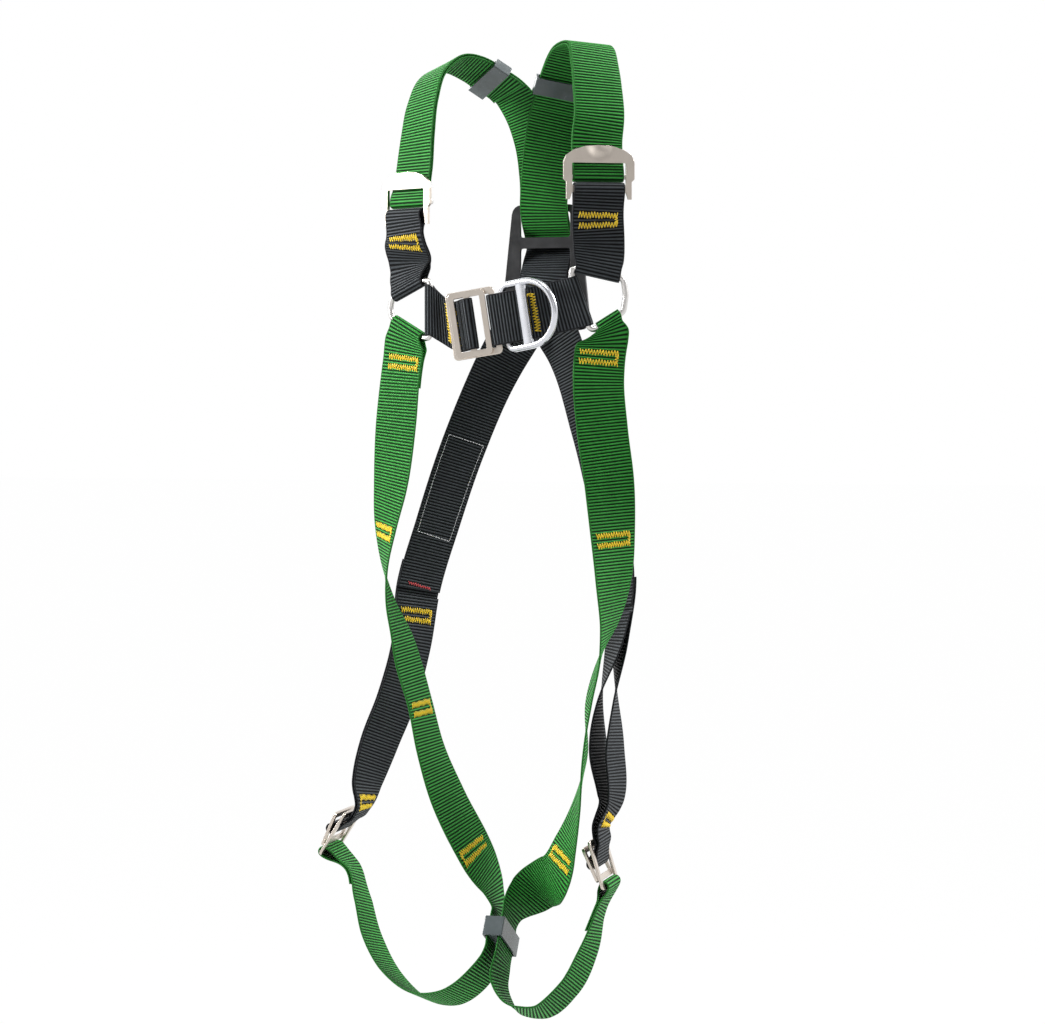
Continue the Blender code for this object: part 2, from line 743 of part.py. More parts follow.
def shoulder_start(order):
    """Through the top window: order 0 lies nearest the ring's bar and the wearer."""
    behind = behind_bar + order * STACK
    before = before_plate - (1 - order) * STACK
    slant = CROSSBAR_TOP + TOP_PASS_RISE + order * STACK
    return [
        (0, behind - LAYER, CROSSBAR_FOOT + WEB_THICK, 0, 0),
        (0, behind - LAYER, back_bar_height + PASS_MARGIN, 0, 0),
        (0, (behind + before) / 2 - LAYER, slant, 0, 0),
        (0, before - LAYER, TOP_WINDOW_TOP - WEB_THICK / 2, 0, 0),
    ]


def adjuster_end(place, yaw):
    """The strap comes down behind the frame's crown to the sliding bar."""
    back = tan(radians(ADJUSTER_LEAN))
    return [
        (*reach(place, 0, up, -up * back), yaw, 0)
        for up in STRAP_LINES_UP
    ]


left_shoulder = Spine(
    shoulder_start(0)
    + [
        (4, -12, 76, 4, 0),
        (13, -23, 116, 9, 2),
        (20, -30, 135, 18, 4),
        (27, -37, 150, 20, 4),
        (34, -44, 165, 22, 4),
        (50, -58, 186, 38, 0),
        (63, -70, 186, 42, -4),
        (72, -83, 166, 39, -4),
        (77, -92, 146, 35, -3),
        (81, -100, 122, 32, -2),
    ]
    + adjuster_end(left_adjuster, ADJUSTER_YAW)
)
right_shoulder = Spine(
    shoulder_start(1)
    + [
        (-1, -5, 76, -2, 1),
        (-4, -11, 106, -6, 5),
        (-15, -23, 137, -22, 12),
        (-27, -34, 154, -34, 16),
        (-38, -42, 162, -35, 16),
        (-49, -50, 170, -36, 16),
        (-66, -64, 175, -41, 12),
        (-79, -79, 164, -40, 6),
        (-85, -91, 139, -36, 3),
        (-87, -99, 108, -32, 1),
    ]
    + adjuster_end(right_adjuster, -ADJUSTER_YAW)
)
bar_fold = Fold(
    fold_radius(wire_half(SLIDE_BAR)), free=BAR_TRAVEL + BAR_RUN_OUT, ease=SHORT_EASE,
)


def shoulder_strap(side_name, spine, keeper_along):
    tail = keeper_along - TAIL_PAST_KEEPER
    sections = layer(spine, 0, spine.length, 1, end=bar_fold)
    sections += turn(spine, bar_fold, at_end=True)
    sections += layer(spine, spine.length, tail, -1, end=bar_fold)
    webbing(side_name + "_shoulder_strap", sections, "green")
    middle, travel, across, _ = spine.at(keeper_along)
    half_wide = HALF_WEB + KEEPER_PLAY
    half_deep = LAYER + WEB_THICK / 2 + KEEPER_PLAY
    outline = rounded_box(
        -half_wide - KEEPER_WALL, half_wide + KEEPER_WALL,
        -half_deep - KEEPER_WALL, half_deep + KEEPER_WALL, 1.0, 2,
    )
    window = rounded_box(-half_wide, half_wide, -half_deep, half_deep, 0.4, 1)
    points, faces = plate_mesh(outline, [window], -KEEPER_LENGTH / 2, KEEPER_LENGTH / 2)
    out = travel.cross(across)
    add_piece(side_name + "_shoulder_keeper", points, faces, placing(middle, across, out), "keeper")


shoulder_strap("left", left_shoulder, LEFT_KEEPER_ALONG)
shoulder_strap("right", right_shoulder, RIGHT_KEEPER_ALONG)

# Shoulder loops: closed loops of black webbing from adjuster foot to side ring

foot_fold = Fold(fold_radius(flat_bar_half(ADJUSTER_FOOT_BAR, FRAME_THICK)))


def shoulder_loop(side_name, adjuster_place, ring, side, sway):
    top = reach(adjuster_place, 0, ADJUSTER_FOOT_AT, ADJUSTER_PLANE)
    foot, tilt, ring_fold = ring["top"]
    route = [(*top, side * ADJUSTER_YAW, 0)]
    for share, swing in ((0.3, -1), (0.7, 1)):
        point = top.lerp(foot, share) + Vector((0, swing * sway, 0))
        yaw = ADJUSTER_YAW + (SIDE_RING_YAW - ADJUSTER_YAW) * share
        route.append((*point, side * yaw, side * tilt * share))
    route.append((*foot, side * SIDE_RING_YAW, side * tilt))
    spine = Spine(route)
    folds = {"start": foot_fold, "end": ring_fold}
    sections = layer(spine, 0, spine.length, 1, **folds)
    sections += turn(spine, ring_fold, at_end=True)
    sections += layer(spine, spine.length, 0, -1, **folds)
    sections += turn(spine, foot_fold, at_end=False)
    webbing(side_name + "_shoulder_loop", sections, "black", closed=True)


shoulder_loop("left", left_adjuster, left_ring, 1, 2)
shoulder_loop("right", right_adjuster, right_ring, -1, 6)

# Chest straps: the right one carries the tongue, the left one the catch and the front ring

tongue_fold = Fold(BUCKLE_FOLD, free=BUCKLE_FREE, ease=TONGUE_EASE)
upright_fold = Fold(fold_radius(wire_half(SIDE_WIRE)), ease=SHORT_EASE)
chest_tilt = 90 - CHEST_BUCKLE_LEAN

right_chest = Spine(
    [(*right_ring["upright"][0], 180, right_ring["upright"][1])]
    + [(*point, 180, chest_tilt) for point in tongue_approach(chest_buckle)[1:]],
    short=True,
)


def chest_strap(name, spine, start, end):
    """A short strap folded round a bar at each end, its two tails meeting behind."""
    folds = {"start": start, "end": end}
    meeting = spine.length / 2
    sections = layer(spine, meeting - TAIL_GAP / 2, 0, -1, **folds)
    sections += turn(spine, start, at_end=False)
    sections += layer(spine, 0, spine.length, 1, **folds)
    sections += turn(spine, end, at_end=True)
    sections += layer(spine, spine.length, meeting + TAIL_GAP / 2, -1, **folds)
    webbing(name, sections, "black")


chest_strap("chest_strap_right", right_chest, upright_fold, tongue_fold)

catch_fold = Fold(
    fold_radius(wire_half(RING_WIRE)),
    free=FRONT_RING_FROM_CATCH + FRONT_RING_PAST, ease=RING_EASE,
)
left_chest = Spine(
    [
        (*reach(chest_buckle, CATCH_BAR_AT + ahead), 180, chest_tilt)
        for ahead in (0, FRONT_RING_FROM_CATCH, CHEST_STRAP_LINES_UP)
    ]
    + [(*left_ring["upright"][0], 180 + SIDE_RING_YAW, left_ring["upright"][1])],
    short=True,
)
chest_strap("chest_strap_left", left_chest, catch_fold, upright_fold)

# Front straps: from the side ring down to the crotch keeper, under the thigh, to the leg buckle

CROTCH_SIDE = LAYER * 2 + KEEPER_WALL / 2 + KEEPER_PLAY
catch_bar_fold = Fold(BUCKLE_FOLD, free=BUCKLE_FREE, ease=CATCH_EASE)


def front_strap(side_name, ring, side, torso, thigh, buckle_place):
    start, tilt, ring_fold = ring["foot"]
    route = [(*start, side * SIDE_RING_YAW, side * tilt)]
    route += torso + thigh
    bar_yaw = LEG_BUCKLE_YAW + side * 180
    route.append((*reach(buckle_place, CATCH_BAR_AT), bar_yaw, 0))
    spine = Spine(route)
    folds = {"start": ring_fold, "end": catch_bar_fold}
    sections = layer(spine, SEWN_TAIL, 0, -1, **folds)
    sections += turn(spine, ring_fold, at_end=False)
    sections += layer(spine, 0, spine.length, 1, **folds)
    sections += turn(spine, catch_bar_fold, at_end=True)
    sections += layer(spine, spine.length, spine.length - LEG_TAIL, -1, **folds)
    webbing(side_name + "_front_strap", sections, "green")


keeper_axis_yaw = radians(CROTCH_YAW)
keeper_axis_tilt = radians(CROTCH_TILT)
keeper_across = Vector((
    cos(keeper_axis_yaw) * cos(keeper_axis_tilt),
    sin(keeper_axis_yaw) * cos(keeper_axis_tilt),
    sin(keeper_axis_tilt),
))
keeper_down = (Vector((0, 0, -1)) + keeper_across * keeper_across.z).normalized()
crotch_place = placing(CROTCH_AT, keeper_across, keeper_down.cross(keeper_across))


def keeper_pass(from_middle, yaw, tilt):
    """Points that take a strap straight through its slot of the crotch keeper."""
    return [
        (*(reach(crotch_place, 0, from_middle) + keeper_down * step), yaw, tilt)
        for step in (-CROTCH_RUN, -CROTCH_RUN / 2, 0, CROTCH_RUN / 2, CROTCH_RUN)
    ]


front_strap(
    "left", left_ring, 1,
    [
        (84.5, -105, -80, 22, 18),
        (83, -108, -104, 24, 1),
        (87, -110, -152, 24, -2),
        (93, -110, -196, 31, -3),
        (95, -107, -239, 46, -3),
        (95, -104, -280, 62, -4),
        (90, -100, -320, 86, -1),
        (81, -98, -350, 106, 0),
        (70, -97, -390, 112, 0),
        (67, -100, -440, 102, 0),
        (60, -98, -480, 112, 8),
        (47, -92, -520, 128, 28),
        (36, -88, -545, 144, 46),
        (10, -68, -566, 220, 48),
    ],
    keeper_pass(CROTCH_SIDE + 2 * LAYER, CROTCH_YAW + 180, -CROTCH_TILT)
    + [
        (-8, -104, -642, 264, 28),
        (5, -107, -660, 262, 26),
        (27, -102, -664, 260, 20),
        (50, -93, -645, 260, 14),
        (65, -80, -612, 264, 8),
        (73, -72, -580, 274, 3),
    ],
    left_leg_buckle,
)
front_strap(
    "right", right_ring, -1,
    [
        (-99, -108, -101, -20, -2),
        (-103, -110, -146, -18, -2),
        (-109, -107, -198, -28, -2),
        (-115, -104, -236, -44, -1),
        (-117, -101, -270, -62, 0),
        (-112, -99, -306, -80, 2),
        (-103, -98, -333, -94, 4),
        (-96, -97, -360, -101, 3),
        (-86, -96, -394, -98, -3),
        (-75, -96, -438, -103, -3),
        (-60, -93, -480, -112, -9),
        (-38, -86, -526, -114, -8),
        (-25, -72, -560, -101, 16),
    ],
    keeper_pass(-CROTCH_SIDE, CROTCH_YAW - 180, -CROTCH_TILT)
    + [
        (-30, -104, -640, -96, 28),
        (-53, -106, -657, -95, 26),
        (-82, -101, -660, -94, 20),
        (-115, -92, -642, -92, 12),
        (-139, -82, -610, -90, 5),
        (-152, -73, -576, -86, 2),
        (-163, -67, -550, -80, 0),
    ],
    right_leg_buckle,
)

# Crotch keeper: one plastic piece with a slot for each leg strap

slot_wide = HALF_WEB + KEEPER_PLAY
slot_deep = WEB_THICK / 2 + KEEPER_PLAY
crotch_outline = rounded_box(
    -slot_wide - KEEPER_WALL, slot_wide + KEEPER_WALL,
    -CROTCH_SIDE - LAYER - slot_deep - KEEPER_WALL,
    CROTCH_SIDE + LAYER + slot_deep + KEEPER_WALL, 1.0, 2,
)
crotch_windows = [
    rounded_box(-slot_wide, slot_wide, middle - slot_deep, middle + slot_deep, 0.4, 1)
    for middle in (-CROTCH_SIDE - LAYER, CROTCH_SIDE + LAYER)
]
points, faces = plate_mesh(
    crotch_outline, crotch_windows, -CROTCH_KEEPER_LENGTH / 2, CROTCH_KEEPER_LENGTH / 2,
)
add_piece("crotch_keeper", points, faces, crotch_place, "keeper")

# Rear straps and thigh straps: out of the plate's foot window, round the hip, to the leg buckle


def rear_start(order):
    """Through the foot window: order 0 lies in front on the wearer's side."""
    behind = behind_bar + (2 + order) * STACK
    before = before_plate - (1 - order) * STACK
    slant = CROSSBAR_FOOT - FOOT_PASS_DROP - order * STACK
    exit_height = FOOT_WINDOW_FOOT + PASS_MARGIN * (2 - order)
    return [
        (0, behind + LAYER, CROSSBAR_TOP + PASS_MARGIN, 0, 0),
        (0, behind + LAYER, CROSSBAR_FOOT + WEB_THICK / 2, 0, 0),
        (0, (behind + before) / 2 + LAYER, slant, 0, 0),
        (0, before + LAYER, exit_height, 0, 0),
    ]


def rear_and_thigh(side_name, order, hip, buckle_place, yaw, belly):
    approach = [(*point, yaw, 0) for point in tongue_approach(buckle_place)]
    lap = HIP_JOIN_ALONG - HIP_JOIN_LAP
    below = HIP_JOIN_ALONG + HIP_JOIN_SLIT
    spine = Spine(rear_start(order) + hip + approach, (lap, HIP_JOIN_ALONG, below))
    folds = {"end": tongue_fold, "belly": belly}
    sections = layer(spine, 0, HIP_JOIN_ALONG, 1)
    webbing(side_name + "_rear_strap", sections, "black")
    sections = layer(spine, below, spine.length, 1, **folds)
    sections += turn(spine, tongue_fold, at_end=True)
    sections += layer(spine, spine.length, lap, -1, **folds)
    webbing(side_name + "_thigh_strap", sections, "black")


rear_and_thigh(
    "right", 0,
    [
        (-4, -9, -32, 2, -1),
        (-15, -16, -54, 12, -4),
        (-37, -20, -92, 32, -5),
        (-72, -23, -170, 42, -5),
        (-95, -26, -238, 46, -7),
        (-112, -29, -296, 49, -10),
        (-117, -36, -350, 60, -12),
        (-128, -44, -398, 60, -14),
        (-142, -52, -438, 62, -8),
        (-151, -60, -474, 76, -5),
    ],
    right_leg_buckle, LEG_BUCKLE_YAW, 0,
)
rear_and_thigh(
    "left", 1,
    [
        (3, -4, -32, 0, 0),
        (10, -8, -54, -9, 2),
        (24, -11, -82, -24, 2),
        (46, -18, -150, -34, 2),
        (66, -25, -220, -33, 2),
        (80, -31, -286, -36, 0),
        (80, -40, -340, -54, 0),
        (73, -44, -392, -78, 0),
        (73, -48, -436, -94, 0),
        (78, -53, -482, -92, 0),
    ],
    left_leg_buckle, -180 + LEG_BUCKLE_YAW, LEFT_THIGH_BELLY,
)
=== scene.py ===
import json
import bmesh
import bpy
import numpy as np
from math import cos, pi, radians, sin
from mathutils import Matrix, Vector
from mathutils.bvhtree import BVHTree


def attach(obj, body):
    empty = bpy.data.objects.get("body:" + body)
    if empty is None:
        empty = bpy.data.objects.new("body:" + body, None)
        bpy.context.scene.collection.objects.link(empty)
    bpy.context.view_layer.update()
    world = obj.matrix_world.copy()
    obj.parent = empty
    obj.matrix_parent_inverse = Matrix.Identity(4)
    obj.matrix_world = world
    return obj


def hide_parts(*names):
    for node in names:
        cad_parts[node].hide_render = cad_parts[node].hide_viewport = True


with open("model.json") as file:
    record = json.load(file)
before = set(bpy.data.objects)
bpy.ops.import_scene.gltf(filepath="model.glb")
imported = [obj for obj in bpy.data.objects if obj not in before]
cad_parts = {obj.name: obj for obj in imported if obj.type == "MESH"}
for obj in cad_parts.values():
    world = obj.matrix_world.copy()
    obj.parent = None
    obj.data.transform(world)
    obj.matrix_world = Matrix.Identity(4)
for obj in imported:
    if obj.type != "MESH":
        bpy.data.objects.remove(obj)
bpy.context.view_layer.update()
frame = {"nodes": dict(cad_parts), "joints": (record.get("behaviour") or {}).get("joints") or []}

# Studio: the harness hangs, as if worn, clear of a white floor in a white room.
# Soft lamps stand at both sides, a little high; weaker ones are overhead, in front and behind.
# The camera looks from a little to the wearer's left, slightly down.
turned, lowered = radians(18), radians(2)
view_right = Vector((cos(turned), sin(turned), 0))
view_ahead = Vector((-sin(turned) * cos(lowered), cos(turned) * cos(lowered), -sin(lowered)))
view_up = view_right.cross(view_ahead)
lens_pixels, view_reach = 3080, 2.8
picture_wide, picture_tall = 1045, 1024
plate_centre_at = (545, 262)
eye = -(
    view_ahead * view_reach
    + view_right * view_reach * (plate_centre_at[0] - picture_wide / 2) / lens_pixels
    + view_up * view_reach * (picture_tall / 2 - plate_centre_at[1]) / lens_pixels
)
camera_data = bpy.data.cameras.new("photo_camera")
camera_data.sensor_fit = "HORIZONTAL"
camera_data.sensor_width = 36
camera_data.lens = camera_data.sensor_width * lens_pixels / picture_wide
camera = bpy.data.objects.new("photo_camera", camera_data)
camera_turn = Matrix((view_right, view_up, -view_ahead)).transposed()
camera.matrix_world = Matrix.Translation(eye) @ camera_turn.to_4x4()
bpy.context.scene.collection.objects.link(camera)
bpy.context.scene.camera = camera
bpy.context.scene.view_settings.view_transform = "Standard"
harness_middle = Vector((-0.03, -0.06, -0.24))


def lamp(name, place, size, power):
    """A square soft lamp aimed at the middle of the harness."""
    light = bpy.data.lights.new(name, "AREA")
    light.size = size
    light.energy = power
    holder = bpy.data.objects.new(name, light)
    aim = (harness_middle - Vector(place)).to_track_quat("-Z", "Y")
    holder.matrix_world = Matrix.Translation(Vector(place)) @ aim.to_matrix().to_4x4()
    bpy.context.scene.collection.objects.link(holder)


lamp("left_lamp", (-2.0, -1.1, 0.7), size=0.7, power=82)
lamp("right_lamp", (1.6, 0.7, 1.2), size=0.8, power=85)
lamp("overhead_lamp", (0.1, -0.9, 2.5), size=0.7, power=36)
lamp("front_lamp", (0.5, -2.7, 0.4), size=1.0, power=2)
lamp("rim_lamp_left", (-1.6, 1.3, 0.9), size=1.0, power=10)


def linked(tree, kind, *sources, **settings):
    """A node of the given kind, with its inputs joined or set in order."""
    made = tree.nodes.new(kind)
    for key, value in settings.items():
        setattr(made, key, value)
    for socket, source in zip([s for s in made.inputs if s.enabled], sources):
        if source is None:
            continue
        if isinstance(source, bpy.types.NodeSocket):
            tree.links.new(source, socket)
        else:
            socket.default_value = source
    return made


def spread(tree, value, known, wanted):
    """A value carried over from one range to another, kept inside it."""
    return linked(tree, "ShaderNodeMapRange", value, *known, *wanted).outputs[0]


def either(tree, *labels):
    """1 for rays of any of the named kinds."""
    path = tree.nodes.new("ShaderNodeLightPath")
    found = path.outputs[labels[0]]
    for label in labels[1:]:
        found = linked(tree, "ShaderNodeMath", found, path.outputs[label], operation="MAXIMUM").outputs[0]
    return found


def new_finish(name):
    """A material with its node tree and its main shader."""
    finish = bpy.data.materials.new(name)
    finish.use_nodes = True
    return finish, finish.node_tree, finish.node_tree.nodes["Principled BSDF"]


room_fill, mirror_front, mirror_back = 0.12, 0.40, 1.0
world = bpy.data.worlds.new("white_room")
world.use_nodes = True
bpy.context.scene.world = world
room = world.node_tree
room_light = room.nodes["Background"]
room_light.inputs["Color"].default_value = (1, 1, 1, 1)
towards = room.nodes.new("ShaderNodeTexCoord").outputs["Generated"]
depth = linked(room, "ShaderNodeSeparateXYZ", towards).outputs["Y"]
mirrored = spread(room, depth, known=(-0.7, 0.1), wanted=(mirror_front, mirror_back))
mirrored_ray = either(room, "Is Glossy Ray", "Is Transmission Ray")
level = spread(room, mirrored_ray, known=(0.0, 1.0), wanted=(room_fill, mirrored))
seen = linked(room, "ShaderNodeMath", either(room, "Is Camera Ray"), level, operation="MAXIMUM")
room.links.new(seen.outputs[0], room_light.inputs["Strength"])

floor_low, floor_half, floor_glow, glow_share = -1.25, 40.0, 1.02, 0.97
floor_mesh = bpy.data.meshes.new("floor")
floor_mesh.from_pydata(
    [(x * floor_half, y * floor_half, floor_low) for x, y in ((-1, -1), (1, -1), (1, 1), (-1, 1))],
    [], [(0, 1, 2, 3)],
)
floor = bpy.data.objects.new("floor", floor_mesh)
bpy.context.scene.collection.objects.link(floor)
paint, paint_tree, paint_shader = new_finish("floor_white")
paint_shader.inputs["Base Color"].default_value = (0.9, 0.9, 0.9, 1)
paint_shader.inputs["Roughness"].default_value = 0.9
glow = linked(paint_tree, "ShaderNodeEmission", (1, 1, 1, 1), floor_glow)
shows_room = either(paint_tree, "Is Camera Ray", "Is Glossy Ray", "Is Transmission Ray")
share = linked(paint_tree, "ShaderNodeMath", shows_room, glow_share, operation="MULTIPLY")
painted = linked(
    paint_tree, "ShaderNodeMixShader", share.outputs[0],
    paint_shader.outputs[0], glow.outputs[0],
)
paint_tree.links.new(painted.outputs[0], paint_tree.nodes["Material Output"].inputs["Surface"])
floor_mesh.materials.append(paint)

# Green webbing: flat woven polyester tape, 45 mm wide and 2 mm thick, with raised ribs across it
# and a smooth selvedge down each edge.  Shoulder straps run from the back plate over the shoulders
# to the adjusters; front straps run from the side rings, under the thighs, to the leg buckles.
web_half, web_half_thick = 0.0225, 0.001
rib_pitch, rib_height, steps_per_rib, below_crest = 0.0028, 0.00065, 6, 0.4
selvedge_from, selvedge_full, selvedge_shade_from, selvedge_shade_full = 0.905, 0.945, 0.925, 0.95
yarn_pitch, crest_sharpness = 0.0011, 3.0
same_length, same_corner, end_reach = 2e-6, 1e-6, 0.05


def tape_sections(node, near):
    """Corner rings of a strap's solid in order, from the end (or the place) nearest to a point."""
    solid = bmesh.new()
    solid.from_mesh(frame["nodes"][node].data)
    bmesh.ops.remove_doubles(solid, verts=solid.verts, dist=same_corner)
    near = Vector(near)

    def is_length(edge, length):
        return abs(edge.calc_length() - length) < same_length

    def mates(corner):
        thick = [e.other_vert(corner) for e in corner.link_edges if is_length(e, 2 * web_half_thick)]
        wide = [e.other_vert(corner) for e in corner.link_edges if is_length(e, 2 * web_half)]
        return [
            (corner, w, far, t)
            for t in thick for w in wide
            for far in {e.other_vert(w) for e in w.link_edges} & {e.other_vert(t) for e in t.link_edges}
            if far != corner and abs((far.co - t.co).length - 2 * web_half) < same_length
            and abs((far.co - w.co).length - 2 * web_half_thick) < same_length
        ]

    caps = [
        f for f in solid.faces
        if any(is_length(e, 2 * web_half_thick) for e in f.edges)
        and any(is_length(e, 2 * web_half) for e in f.edges)
    ]
    if caps:
        cap = min(caps, key=lambda f: (f.calc_center_median() - near).length)
        corner = next(
            v for v in cap.verts
            if sum(is_length(e, 2 * web_half_thick) or is_length(e, 2 * web_half)
                   for e in v.link_edges if e in cap.edges) == 2
        )
        pair = {v for f in caps for v in f.verts if (f.calc_center_median() - corner.co).length < end_reach}
        first = next(ring for ring in mates(corner) if set(ring) <= pair)
    else:
        corner = min(solid.verts, key=lambda v: (v.co - near).length)
        first = mates(corner)[0]
    rings = [first]
    seen = set(first)
    while True:
        ahead = {e.other_vert(v) for v in rings[-1] for e in v.link_edges} - seen
        if not ahead:
            break
        if len(ahead) > 4:
            lead = max(ahead, key=lambda v: v.co.z)
            group = {lead}
            for _ in range(3):
                group |= {e.other_vert(v) for v in group for e in v.link_edges} & ahead
            ahead = group
        lead = min(ahead, key=lambda v: (v.co - rings[-1][0].co).length)
        beside = [e.other_vert(lead) for e in lead.link_edges if e.other_vert(lead) in ahead]
        across = [(a, b) for a in beside for b in beside if a != b]
        options = []
        for a, b in across:
            far = next(v for v in ahead if v not in (lead, a, b))
            loop = (lead, a, far, b)
            for turn in range(4):
                options.append(loop[turn:] + loop[:turn])
        best = min(options, key=lambda o: sum((p.co - q.co).length for p, q in zip(o, rings[-1])))
        rings.append(best)
        seen |= set(best)
    corners = np.array([[tuple(v.co) for v in ring] for ring in rings])
    solid.free()
    return corners, not caps


def smooth_through(marks, values, wanted):
    """Values eased through their marks, read at the wanted places."""
    slopes = np.gradient(values, marks, axis=0)
    i = np.clip(np.searchsorted(marks, wanted) - 1, 0, len(marks) - 2)
    gap = (marks[i + 1] - marks[i])[:, None]
    u = (wanted - marks[i])[:, None] / gap
    keep = 2 * u ** 3 - 3 * u ** 2 + 1
    return (
        keep * values[i] + (1 - keep) * values[i + 1]
        + (u ** 3 - 2 * u ** 2 + u) * gap * slopes[i] + (u ** 3 - u ** 2) * gap * slopes[i + 1]
    )


def unit(rows):
    return rows / np.linalg.norm(rows, axis=1)[:, None]


class Tape:
    """A strap's run: middle, width direction and outward side at even steps along it."""

    def __init__(self, node, near):
        corners, self.closed = tape_sections(node, near)
        wide = corners[0, 1] + corners[0, 2] - corners[0, 0] - corners[0, 3]
        if wide[np.argmax(np.abs(wide))] < 0:
            corners = corners[:, [1, 0, 3, 2]]
            wide = -wide
        ahead = corners[1].mean(axis=0) - corners[0].mean(axis=0)
        thick = corners[0, 3] + corners[0, 2] - corners[0, 0] - corners[0, 1]
        if np.dot(np.cross(ahead, wide), thick) < 0:
            corners = corners[:, [3, 2, 1, 0]]
        if self.closed:
            corners = np.vstack([corners[-3:], corners, corners[:4]])
        middle = corners.mean(axis=1)
        across = (corners[:, 1] + corners[:, 2] - corners[:, 0] - corners[:, 3]) / 2
        half = np.linalg.norm(across, axis=1)[:, None] / 2
        across = unit(across)
        out = unit((corners[:, 3] + corners[:, 2] - corners[:, 0] - corners[:, 1]) / 2)
        marks = np.concatenate([[0], np.cumsum(np.linalg.norm(np.diff(middle, axis=0), axis=1))])
        if self.closed:
            marks = marks - marks[3]
        self.length = marks[-4] if self.closed else marks[-1]
        rib_count = max(1, round(self.length / rib_pitch))
        self.rib = self.length / rib_count
        steps = steps_per_rib * rib_count
        self.marks = np.linspace(0, self.length, steps + 1)[: steps if self.closed else steps + 1]
        self.middle = smooth_through(marks, middle, self.marks)
        self.across = unit(smooth_through(marks, across, self.marks))
        self.half = smooth_through(marks, half, self.marks)[:, 0]
        out = smooth_through(marks, out, self.marks)
        self.out = unit(out - self.across * np.sum(out * self.across, axis=1)[:, None])

    def at(self, along, across, side):
        """Point on one face, just below the ribs' crests, and that face's outward side."""
        i = int(round(along / self.length * (len(self.marks) - 1)))
        i = min(max(i, 0), len(self.marks) - 1)
        j = min(i + 1, len(self.marks) - 1)
        travel = self.middle[j] - self.middle[max(j - 2, 0)]
        travel = travel / np.linalg.norm(travel)
        slip = along - self.marks[i]
        out = self.out[i] * side
        wide = across * self.half[i] / web_half
        raised = web_half_thick - rib_height * below_crest
        return self.middle[i] + travel * slip + self.across[i] * wide + out * raised, out


edge_shares = (1.0, 0.988, 0.962, 0.935, selvedge_from, 0.6, 0.3)
edge_heights = (0.0, 0.62, 0.86, 0.76, 0.94, 1.0, 1.0)
upper = [(-s, h) for s, h in zip(edge_shares, edge_heights)] + [(0.0, 1.0)]
upper += [(s, h) for s, h in reversed(list(zip(edge_shares, edge_heights))[1:])]
tape_outline = np.array(upper + [(-s, -h) for s, h in upper])


def tape_blank(name, tape):
    """Smooth tape without ribs, with its places along and across kept on it."""
    ring, count = len(tape_outline), len(tape.marks)
    points = (
        tape.middle[:, None]
        + tape.across[:, None] * (tape_outline[None, :, :1] * tape.half[:, None, None])
        + tape.out[:, None] * (tape_outline[None, :, 1:] * web_half_thick)
    ).reshape(-1, 3)
    half = count // 2
    travel = tape.middle[half + 1] - tape.middle[half]
    forward = np.dot(np.cross(tape.across[half], travel), tape.out[half]) > 0
    i = np.repeat(np.arange(count - (not tape.closed)), ring)
    k = np.tile(np.arange(ring), count - (not tape.closed))
    ahead, beside = (i + 1) % count, (k + 1) % ring
    quads = np.stack([i * ring + k, i * ring + beside, ahead * ring + beside, ahead * ring + k], axis=1)
    if not forward:
        quads = quads[:, ::-1]
    faces = quads.tolist()
    if not tape.closed:
        first = list(range(ring))
        last = [(count - 1) * ring + k for k in range(ring)]
        faces += [first[::-1], last] if forward else [first, last[::-1]]
    mesh = bpy.data.meshes.new(name)
    mesh.from_pydata(points.tolist(), [], faces)
    mesh.shade_smooth()
    along = np.repeat(tape.marks, ring)
    wide = np.tile(tape_outline[:, 0], count)
    for label, values in (("along", along), ("across", wide)):
        mesh.attributes.new(label, "FLOAT", "POINT").data.foreach_set("value", values.astype(np.float32))
    corner = np.zeros(len(mesh.loops), np.int32)
    mesh.loops.foreach_get("vertex_index", corner)
    place = np.stack([along[corner], wide[corner] * web_half], axis=1)
    if tape.closed:
        sides = place[: 4 * len(quads)].reshape(-1, 4, 2)
        sides[:, :, 0] += np.where(np.ptp(sides[:, :, 0], axis=1)[:, None] > tape.length / 2,
                                   np.where(sides[:, :, 0] < tape.length / 2, tape.length, 0), 0)
    place[:, 0] *= rib_pitch / tape.rib
    mesh.uv_layers.new(name="weave").data.foreach_set("uv", place.astype(np.float32).ravel())
    holder = bpy.data.objects.new(name, mesh)
    bpy.context.scene.collection.objects.link(holder)
    return holder


def named_tree(name, *inputs):
    """An empty geometry tree with named inputs."""
    tree = bpy.data.node_groups.new(name, "GeometryNodeTree")
    tree.interface.new_socket("Geometry", in_out="INPUT", socket_type="NodeSocketGeometry")
    for label, kind in inputs:
        tree.interface.new_socket(label, in_out="INPUT", socket_type=kind)
    tree.interface.new_socket("Geometry", in_out="OUTPUT", socket_type="NodeSocketGeometry")
    return tree, tree.nodes.new("NodeGroupInput").outputs


def end_tree(tree, shape, finish):
    """Smooth, real and finished: the last nodes of each tree."""
    smooth = linked(tree, "GeometryNodeSetShadeSmooth", shape)
    real = linked(tree, "GeometryNodeRealizeInstances", smooth.outputs[0])
    dressed = linked(tree, "GeometryNodeSetMaterial", real.outputs[0], None, finish)
    tree.links.new(dressed.outputs[0], tree.nodes.new("NodeGroupOutput").inputs[0])


